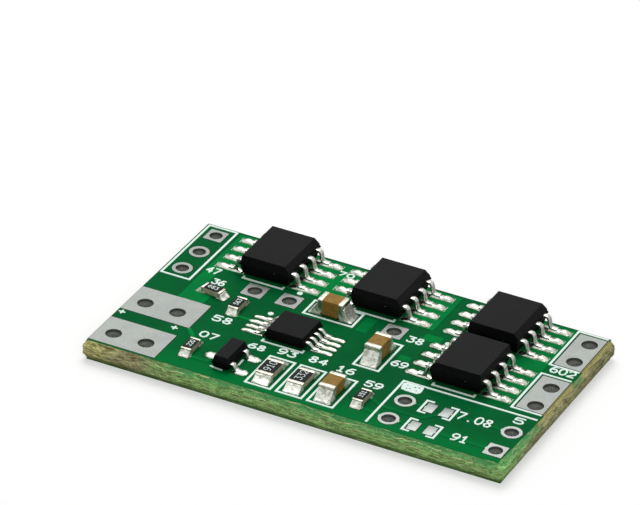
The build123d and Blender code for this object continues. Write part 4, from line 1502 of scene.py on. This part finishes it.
@dataclass
class Packages:
    """All the moulded packages with their leads and solder."""

    workshop: Workshop

    def mosfets(self) -> list[PackagePlan]:
        """The four large packages, of which the last is turned round."""
        moulding = Moulding(
            width=3.9, length=4.9, height=1.6, standoff=0.12, parting=0.95, draft=0.13,
            bevel=0.28, bevel_drop=0.35,
        )
        wing = Wing(
            half_body=1.95, parting=0.95, width=0.42, thickness=0.2, shoulder=0.32, lean=0.2, toe=3.0,
            pad_end=4.0, pad_length=2.2, pad_width=0.6, mound=0.15,
        )
        rows = {side: lead_row(1.27) for side in (-1, 1)}
        turns = {4: 180.0}
        return [
            PackagePlan(f"mosfet_{number}", moulding, wing, rows, turns.get(number, 0.0), tie_bars=True)
            for number in (1, 2, 3, 4)
        ]

    def controller(self) -> PackagePlan:
        """The small eight-lead package."""
        moulding = Moulding(width=3.0, length=3.0, height=0.88, standoff=0.08, parting=0.42, draft=0.12)
        wing = Wing(
            half_body=1.5, parting=0.42, width=0.3, thickness=0.15, shoulder=0.22, lean=0.32, toe=2.45,
            pad_end=3.525, pad_length=1.75, pad_width=0.38, bend=0.16,
        )
        return PackagePlan("controller", moulding, wing, {side: lead_row(0.65) for side in (-1, 1)})

    def regulator(self) -> PackagePlan:
        """The three-lead package."""
        moulding = Moulding(width=1.3, length=2.9, height=1.0, standoff=0.08, parting=0.45, draft=0.14)
        wing = Wing(
            half_body=0.65, parting=0.45, width=0.42, thickness=0.14, shoulder=0.18, lean=0.2, toe=1.25,
            pad_end=1.875, pad_length=1.1, pad_width=0.75, bend=0.12,
        )
        return PackagePlan("regulator", moulding, wing, {-1: [0.0], 1: [-0.95, 0.95]})

    def build(self) -> None:
        """Make every package."""
        fills = Shape()
        for index, plan in enumerate([*self.mosfets(), self.controller(), self.regulator()]):
            middle = node_centre(f"{plan.name}_body")
            place = turned(middle.x, middle.y, LAND_TOP)
            leads, solder = Shape(), Shape()
            for side, spots in plan.rows.items():
                for order, spot in enumerate(spots):
                    spot_place = place @ Matrix.Translation((0, spot, 0))
                    leads.join(plan.wing.lead(side), spot_place)
                    solder.join(plan.wing.solder(side, index * 7.3 + order * 1.9 + side), spot_place)
                    fills.join(plan.wing.land.fills(side), spot_place)
            if plan.tie_bars:
                self.add_tie_bars(leads, plan.moulding, place)
            body = plan.moulding.shape().placed(turned(middle.x, middle.y, LAND_TOP, plan.turn))
            self.workshop.stand_in(f"{plan.name}_body", body, Tone.PACKAGE)
            self.workshop.stand_in(f"{plan.name}_leads", leads, Tone.LEAD)
            self.workshop.stand_in(f"{plan.name}_solder", solder, Tone.SOLDER)
        self.workshop.piece("mask_round_lead_lands", fills, Tone.MASK)

    def add_tie_bars(self, leads: Shape, moulding: Moulding, place: Matrix) -> None:
        """Cut end of a strip that held the lead frame, flush in the front and the back face."""
        half = moulding.length / 2
        x = moulding.width * 0.2
        for sign in (-1, 1):
            out = sign * (half + 0.006)
            inner = sign * (half - 0.2)
            low = (x - 0.06, min(out, inner), moulding.parting - 0.09)
            high = (x + 0.06, max(out, inner), moulding.parting - 0.02)
            leads.join(box_shape(low, high).rounded(0.015), place)


@dataclass(frozen=True)
class ChipPlan:
    """Sizes of a chip part, of its lands and of its solder.

    Attributes:
        length: Length over the caps.
        width: Width of the chip.
        height: Its height over the lands.
        cap_length: Length of a cap.
        pad_length: Length of a land.
        pad_width: Width of a land.
        underlap: How far a land reaches under the chip.
        solder_corner: Radius of the solder's corners.
        coat: Height of the solder over the land.
        climb: Share of the chip's height to which the solder climbs.
        soft_rim: Width over which the solder rises from its border.
        least: Least height of the solder.
        lump: Height of its unevenness.
    """

    length: float
    width: float
    height: float
    cap_length: float
    pad_length: float
    pad_width: float
    underlap: float = 0.35
    solder_corner: float = 0.16
    coat: float = 0.07
    climb: float = 0.72
    soft_rim: float = 0.12
    least: float = 0.02
    lump: float = 0.05

    @property
    def land(self) -> SolderedLand:
        """The land of one end."""
        centre = self.length / 2 - self.underlap + self.pad_length / 2
        return SolderedLand(centre, self.pad_length / 2, self.pad_width / 2, self.solder_corner)

    def block(self, trim: float, radius: float) -> Shape:
        """The ceramic block, a little inside the caps."""
        low = (-self.length / 2 + trim, -self.width / 2 + trim, trim)
        high = (self.length / 2 - trim, self.width / 2 - trim, self.height - trim)
        return box_shape(low, high).rounded(radius, 3)

    def caps(self, radius: float) -> Shape:
        """Both end caps."""
        shape = Shape()
        for side in (-1, 1):
            outer = side * self.length / 2
            inner = side * (self.length / 2 - self.cap_length)
            low = (min(outer, inner), -self.width / 2, 0.0)
            high = (max(outer, inner), self.width / 2, self.height)
            shape.join(box_shape(low, high).rounded(radius, 3))
        return shape

    def glaze(self) -> Shape:
        """Glass over the top between the caps."""
        half_x = self.length / 2 - self.cap_length - 0.02
        half_y = self.width / 2 - 0.03
        low = (-half_x, -half_y, self.height - 0.04)
        high = (half_x, half_y, self.height + 0.035)
        return box_shape(low, high).rounded(0.03, 3)

    def solder(self, side: int, seed: float) -> Shape:
        """Solder that climbs the end of a cap and spreads to the land's corners."""
        end = self.length / 2
        land = self.land
        reach = land.centre + land.half_length - end

        def height(x: float, y: float, edge: float) -> float:
            """Height of the solder over the copper."""
            rim = min(1.0, edge / self.soft_rim)
            gap = math.hypot(max(0.0, x - end), max(0.0, abs(y) - self.width / 2 + 0.08))
            fall = max(0.0, 1 - gap / (reach * 1.05))
            climb = self.height * self.climb * fall**1.9 * min(1.0, rim * 2.2)
            lump = self.lump * noise.noise(Vector((x * 3.1 + seed, y * 3.7, seed * 1.3))) * rim * fall
            return max(self.least, self.coat * round_rim(rim) + climb + lump)

        return land.bead(side, height, 22, 20)


@dataclass(frozen=True)
class Chip:
    """One chip part: its sizes, how it is turned, and the value printed on it if any."""

    plan: ChipPlan
    turn: float
    value: str = ""


@dataclass
class Chips:
    """The chip resistors and capacitors with their solder.

    Attributes:
        workshop: Makes the pieces.
        digit_share: Height of a printed digit, as a share of the resistor's width.
        digit_line: Width of its strokes.
        ink_foot: Height of the ink's foot over the ceramic, sunk a little into the glaze.
        ink_height: Height of the ink over its foot.
    """

    workshop: Workshop
    digit_share: float = 0.42
    digit_line: float = 0.045
    ink_foot: float = 0.03
    ink_height: float = 0.012

    def build(self) -> None:
        """Make every chip part."""
        small = ChipPlan(
            length=1.6, width=0.8, height=0.45, cap_length=0.2, pad_length=0.75, pad_width=0.85
        )
        large = ChipPlan(
            length=2.0, width=1.25, height=0.5, cap_length=0.3, pad_length=1.05, pad_width=1.3
        )
        tall = replace(large, height=1.25, cap_length=0.42)
        low = replace(tall, height=0.95)
        resistors = [
            Chip(small, -8.0, "683"),
            Chip(large, 90.0, "332"),
            Chip(small, 90.0, "151"),
            Chip(small, 90.0, "220"),
            Chip(large, 90.0, "910"),
            Chip(small, 90.0, "563"),
        ]
        fills = Shape()
        self.row("resistor", resistors, 0.0, fills)
        self.row("capacitor", [Chip(tall, 0.0), Chip(tall, 90.0), Chip(low, 90.0)], 40.0, fills)
        self.workshop.piece("mask_round_chip_lands", fills, Tone.MASK)

    def row(self, kind: str, chips: list[Chip], first_seed: float, fills: Shape) -> None:
        """Make all the chips of a kind.

        Args:
            kind: Their name in the CAD model.
            chips: The chips, in the order of their numbers.
            first_seed: Shifts the solder's noise.
            fills: Takes the lacquer in the corners of their lands.
        """
        joints = Shape()
        for number, chip in enumerate(chips, start=1):
            name = f"{kind}_{number}"
            middle = node_centre(f"{name}_caps")
            place = turned(middle.x, middle.y, LAND_TOP, chip.turn)
            if chip.value:
                self.resistor(name, chip, place)
            else:
                self.body(name, chip.plan.block(0.03, 0.07), chip.plan.caps(0.1), place, Tone.CAPACITOR)
            for side in (-1, 1):
                joints.join(chip.plan.solder(side, first_seed + number * 3.3 + side), place)
                fills.join(chip.plan.land.fills(side), place)
        self.workshop.stand_in(f"{kind}_solder", joints, Tone.CHIP_SOLDER)

    def body(self, name: str, block: Shape, caps: Shape, place: Matrix, tone: Tone) -> None:
        """Make a chip's ceramic block and its end caps."""
        self.workshop.stand_in(f"{name}_ceramic", block.placed(place), tone)
        self.workshop.stand_in(f"{name}_caps", caps.placed(place), Tone.CAP)

    def resistor(self, name: str, chip: Chip, place: Matrix) -> None:
        """Make one resistor, with glaze and the value printed on it."""
        plan = chip.plan
        self.body(name, plan.block(0.02, 0.02), plan.caps(0.05), place, Tone.CERAMIC)
        self.workshop.stand_in(f"{name}_glaze", plan.glaze().placed(place), Tone.GLAZE)
        size = plan.width * self.digit_share
        digits = row_of_glyphs(chip.value, size * 0.58, size, self.digit_line, self.ink_height)
        top = turned(0, 0, plan.height + self.ink_foot)
        self.workshop.piece(f"{name}_value", digits.placed(place @ top), Tone.PRINT)


# Print


GLYPHS: dict[str, list[Loop]] = {
    "0": [
        [(0.3, 0), (0, 0.25), (0, 0.75), (0.3, 1), (0.7, 1), (1, 0.75), (1, 0.25), (0.7, 0), (0.3, 0)],
    ],
    "1": [[(0.15, 0.75), (0.5, 1), (0.5, 0)], [(0.15, 0), (0.85, 0)]],
    "2": [[(0, 0.8), (0.25, 1), (0.75, 1), (1, 0.8), (1, 0.55), (0, 0), (1, 0)]],
    "3": [[(0, 1), (1, 1), (0.5, 0.6), (0.8, 0.6), (1, 0.4), (1, 0.2), (0.75, 0), (0.2, 0), (0, 0.15)]],
    "4": [[(0.75, 0), (0.75, 1), (0, 0.32), (1, 0.32)]],
    "5": [
        [(1, 1), (0.1, 1), (0, 0.58), (0.7, 0.62), (1, 0.4), (1, 0.2), (0.75, 0), (0.2, 0), (0, 0.15)],
    ],
    "6": [
        [(0.9, 1), (0.4, 0.95), (0, 0.5), (0, 0.2), (0.25, 0), (0.75, 0), (1, 0.2), (1, 0.4)]
        + [(0.75, 0.58), (0.1, 0.5)],
    ],
    "7": [[(0, 1), (1, 1), (0.35, 0)]],
    "8": [
        [(0.5, 0.55), (0.1, 0.75), (0.25, 1), (0.75, 1), (0.9, 0.75), (0.5, 0.55), (1, 0.28)]
        + [(0.75, 0), (0.25, 0), (0, 0.28), (0.5, 0.55)],
    ],
    "9": [
        [(0.1, 0), (0.6, 0.05), (1, 0.5), (1, 0.8), (0.75, 1), (0.25, 1), (0, 0.8), (0, 0.6)]
        + [(0.25, 0.42), (0.9, 0.5)],
    ],
    ".": [[(0.45, 0.02), (0.55, 0.02)]],
    "+": [[(0.5, 0.1), (0.5, 0.9)], [(0.05, 0.5), (0.95, 0.5)]],
}
ADVANCE = 1.42
STROKE_STEP = 0.0003


def capsule(start: Point2, end: Point2, width: float, low: float, high: float) -> Shape:
    """Round-ended stroke between two points and two heights."""
    angle = math.atan2(end[1] - start[1], end[0] - start[0])
    loop: Loop = []
    for centre, first in ((end, angle - math.pi / 2), (start, angle + math.pi / 2)):
        for step in range(7):
            turn = first + math.pi * step / 6
            loop.append((centre[0] + width / 2 * math.cos(turn), centre[1] + width / 2 * math.sin(turn)))
    return Plate([(low, loop), (high, loop)]).shape()


def row_of_glyphs(text: str, width: float, height: float, line: float, depth: float) -> Shape:
    """A row of glyphs about the origin.

    The tops of a glyph's strokes stand one below the other by a hair, so that no two faces meet.

    Args:
        text: Digits, point or plus.
        width: Width of one glyph between its strokes' middles.
        height: Height of one glyph.
        line: Width of the stroke.
        depth: How far the ink stands up.

    Returns:
        The strokes, standing on height 0.
    """
    shape = Shape()
    advance = width * ADVANCE
    start = -advance * (len(text) - 1) / 2 - width / 2
    for order, glyph in enumerate(text):
        left = start + order * advance
        drawn = 0
        for path in GLYPHS[glyph]:
            points = [(left + x * width, (y - 0.5) * height) for x, y in path]
            for first, last in zip(points, points[1:]):
                shape.join(capsule(first, last, line, 0.0, depth - STROKE_STEP * drawn))
                drawn += 1
    return shape


@dataclass(frozen=True)
class Label:
    """A printed number or sign, with its places measured from the board's front left corner."""

    text: str
    left: float
    right: float
    baseline: float
    height: float = 0.8


@dataclass
class Legend:
    """Plain numbers and plus signs printed on the lacquer.

    Attributes:
        workshop: Makes the pieces.
        line: Width of the strokes.
        foot: Height of the ink's foot, in the lacquer.
        labels: The numbers and signs.
        dashes: Ends of each printed dash.
        blot_centre: Middle of the block of thick ink.
        blot_size: Its length and width.
    """

    workshop: Workshop
    line: float = 0.13
    foot: float = 1.57
    labels: tuple[Label, ...] = (
        Label("47", 2.83, 3.91, 11.95),
        Label("36", 3.92, 4.93, 10.74, 0.75),
        Label("58", 6.23, 7.70, 6.45),
        Label("07", 6.43, 7.81, 4.15),
        Label("68", 10.05, 11.34, 4.52, 0.7),
        Label("93", 12.17, 13.57, 4.84, 0.78),
        Label("84", 14.49, 15.88, 4.98),
        Label("16", 16.68, 18.03, 4.85),
        Label("59", 19.19, 20.51, 4.09),
        Label("70", 11.16, 12.39, 16.17, 0.62),
        Label("38", 19.19, 20.44, 10.65),
        Label("69", 19.6, 20.82, 7.35),
        Label("602", 29.46, 31.34, 12.0, 0.85),
        Label("7.08", 26.41, 29.0, 3.5, 0.95),
        Label("91", 27.2, 28.44, 0.95, 0.9),
        Label("5", 30.0, 30.77, 4.92),
        Label("+", 0.12, 0.7, 4.03, 0.6),
        Label("+", 4.28, 4.86, 3.98, 0.6),
    )
    dashes: tuple[tuple[Point2, Point2], ...] = (
        ((9.05, 1.14), (9.94, 1.06)),
        ((10.62, 2.92), (10.65, 2.2)),
    )
    blot_centre: Point2 = (22.3, 5.45)
    blot_size: Point2 = (1.5, 1.0)

    def build(self) -> None:
        """Print every number and plus sign, the dashes and the block of thick ink."""
        shape = Shape()
        for label in self.labels:
            advances = 1 + ADVANCE * (len(label.text) - 1)
            width = (label.right - label.left - self.line) / advances
            centre = on_board((label.left + label.right) / 2, label.baseline + label.height / 2)
            height = label.height - self.line
            glyphs = row_of_glyphs(label.text, width, height, self.line, PRINT_TOP - self.foot)
            shape.join(glyphs, turned(*centre, self.foot))
        self.workshop.piece("printed_numbers", shape, Tone.PRINT)
        marks = Shape()
        for start, end in self.dashes:
            marks.join(capsule(on_board(*start), on_board(*end), self.line, self.foot, PRINT_TOP))
        marks.join(self.blot(on_board(*self.blot_centre)))
        self.workshop.piece("printed_marks", marks, Tone.PRINT)

    def blot(self, centre: Point2) -> Shape:
        """Block of thick ink with a ragged border and small gaps, about its middle."""

        def bulged(share: float, size: float) -> float:
            """A sine or cosine pushed out towards a square's side, at that square's size."""
            return math.copysign(abs(share) ** 0.4, share) * size / 2

        loop: Loop = []
        for step in range(64):
            angle = 2 * math.pi * step / 64
            x, y = math.cos(angle), math.sin(angle)
            ragged = 1 + 0.12 * noise.noise(Vector((x * 3, y * 3, 0.4)))
            out_x, out_y = bulged(x, self.blot_size[0]) * ragged, bulged(y, self.blot_size[1]) * ragged
            loop.append((centre[0] + out_x, centre[1] + out_y))
        gaps = [(-0.42, 0.18), (-0.12, -0.14), (0.14, 0.16), (0.38, -0.2), (-0.34, -0.24), (0.42, 0.24)]
        levels = []
        for order, (x, y) in enumerate(gaps):
            ring = circle_loop(0.06 + 0.01 * (order % 3), (centre[0] + x, centre[1] + y), 10)
            levels.append([(PRINT_TOP, ring), (self.foot, ring)])
        return Plate([(self.foot, loop), (PRINT_TOP, loop)], levels).shape()


# Stage


@dataclass(frozen=True)
class Studio:
    """Floor, lamps and camera of the photograph, in millimetres apart from the floor."""

    camera_place: Point3 = (131.318, -278.019, 193.056)
    target: Point3 = (-7.593, 10.509, 0.82)
    lens: float = 295.15
    roll: float = 2.174
    floor_size: float = 2.4
    floor_drop: float = 2e-5
    floor_share: float = 0.5
    sky_share: float = 0.4

    def floor(self) -> None:
        """Plain pale floor that keeps the object's shadow and shows white."""
        mesh = bpy.data.meshes.new("floor")
        half, low = self.floor_size / 2, -self.floor_drop
        corners = [(-half, -half, low), (half, -half, low), (half, half, low), (-half, half, low)]
        mesh.from_pydata(corners, [], [(0, 1, 2, 3)])
        material = bpy.data.materials.new("floor")
        material.use_nodes = True
        graph = Graph(material.node_tree)
        share = self.floor_share
        matte = graph.node("ShaderNodeBsdfDiffuse", {"Color": (share, share, share, 1.0)})
        seen = graph.node("ShaderNodeLightPath").outputs["Is Camera Ray"]
        glow = graph.node("ShaderNodeEmission", {"Color": (1.0, 1.0, 1.0, 1.0)})
        graph.feed(glow.inputs["Strength"], graph.times(seen, share))
        both = graph.node("ShaderNodeAddShader", {0: matte.outputs[0], 1: glow.outputs[0]})
        graph.node("ShaderNodeOutputMaterial", {"Surface": both.outputs[0]})
        mesh.materials.append(material)
        made = bpy.data.objects.new("floor", mesh)
        bpy.context.scene.collection.objects.link(made)

    def world(self) -> None:
        """White where it is seen or mirrored, and a plain soft light on the object."""
        world = bpy.data.worlds.new("studio")
        world.use_nodes = True
        graph = Graph(world.node_tree)
        rays = graph.node("ShaderNodeLightPath").outputs
        seen = graph.greater(rays["Is Camera Ray"], rays["Is Transmission Ray"])
        seen = graph.greater(seen, rays["Is Glossy Ray"])
        sky = graph.node("ShaderNodeBackground", {"Color": (1.0, 1.0, 1.0, 1.0)})
        graph.feed(sky.inputs["Strength"], graph.spread(seen, self.sky_share))
        graph.node("ShaderNodeOutputWorld", {"Surface": sky.outputs[0]})
        bpy.context.scene.world = world

    def lamp(self, name: str, place: Point3, size: float, power: float) -> None:
        """Soft square lamp that faces the board."""
        data = bpy.data.lights.new(name, "AREA")
        data.shape = "SQUARE"
        data.size = size * MM
        data.energy = power
        lamp = bpy.data.objects.new(name, data)
        lamp.location = Vector(place) * MM
        lamp.rotation_mode = "QUATERNION"
        lamp.rotation_quaternion = (-lamp.location).to_track_quat("-Z", "Y")
        bpy.context.scene.collection.objects.link(lamp)

    def camera(self) -> None:
        """Camera at the photograph's place."""
        data = bpy.data.cameras.new("camera")
        data.sensor_width = 36.0
        data.lens = self.lens
        data.clip_start = 0.01
        data.clip_end = 10.0
        camera = bpy.data.objects.new("camera", data)
        camera.location = Vector(self.camera_place) * MM
        level = (Vector(self.target) - Vector(self.camera_place)).to_track_quat("-Z", "Y")
        camera.rotation_mode = "QUATERNION"
        camera.rotation_quaternion = level @ Quaternion((0, 0, 1), math.radians(self.roll))
        bpy.context.scene.collection.objects.link(camera)
        bpy.context.scene.camera = camera

    def build(self) -> None:
        """Set the stage."""
        self.floor()
        self.world()
        self.lamp("lamp_top", (-60.0, 120.0, 260.0), size=220.0, power=0.6)
        self.lamp("lamp_front", (140.0, -200.0, 150.0), size=160.0, power=0.16)
        self.camera()
        bpy.context.scene.view_settings.view_transform = "Standard"


def main() -> None:
    """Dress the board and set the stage."""
    logging.basicConfig(level=logging.INFO)
    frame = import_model()
    nodes = frame["nodes"]
    wardrobe = Wardrobe()
    workshop = Workshop(wardrobe)
    dressed = {
        "solder_mask_top": Tone.MASK,
        "solder_mask_bottom": Tone.MASK,
        "copper_pours": Tone.COPPER,
        "copper_traces": Tone.COPPER,
        "printed_frames": Tone.PRINT,
    }
    for name, tone in dressed.items():
        wardrobe.dress_node(nodes[name], tone)
    drilling = Drilling()
    Core(workshop).build(drilling.every())
    Lands(workshop, drilling).build()
    Packages(workshop).build()
    Chips(workshop).build()
    Legend(workshop).build()
    Studio().build()


if __name__ == "__main__":
    main()
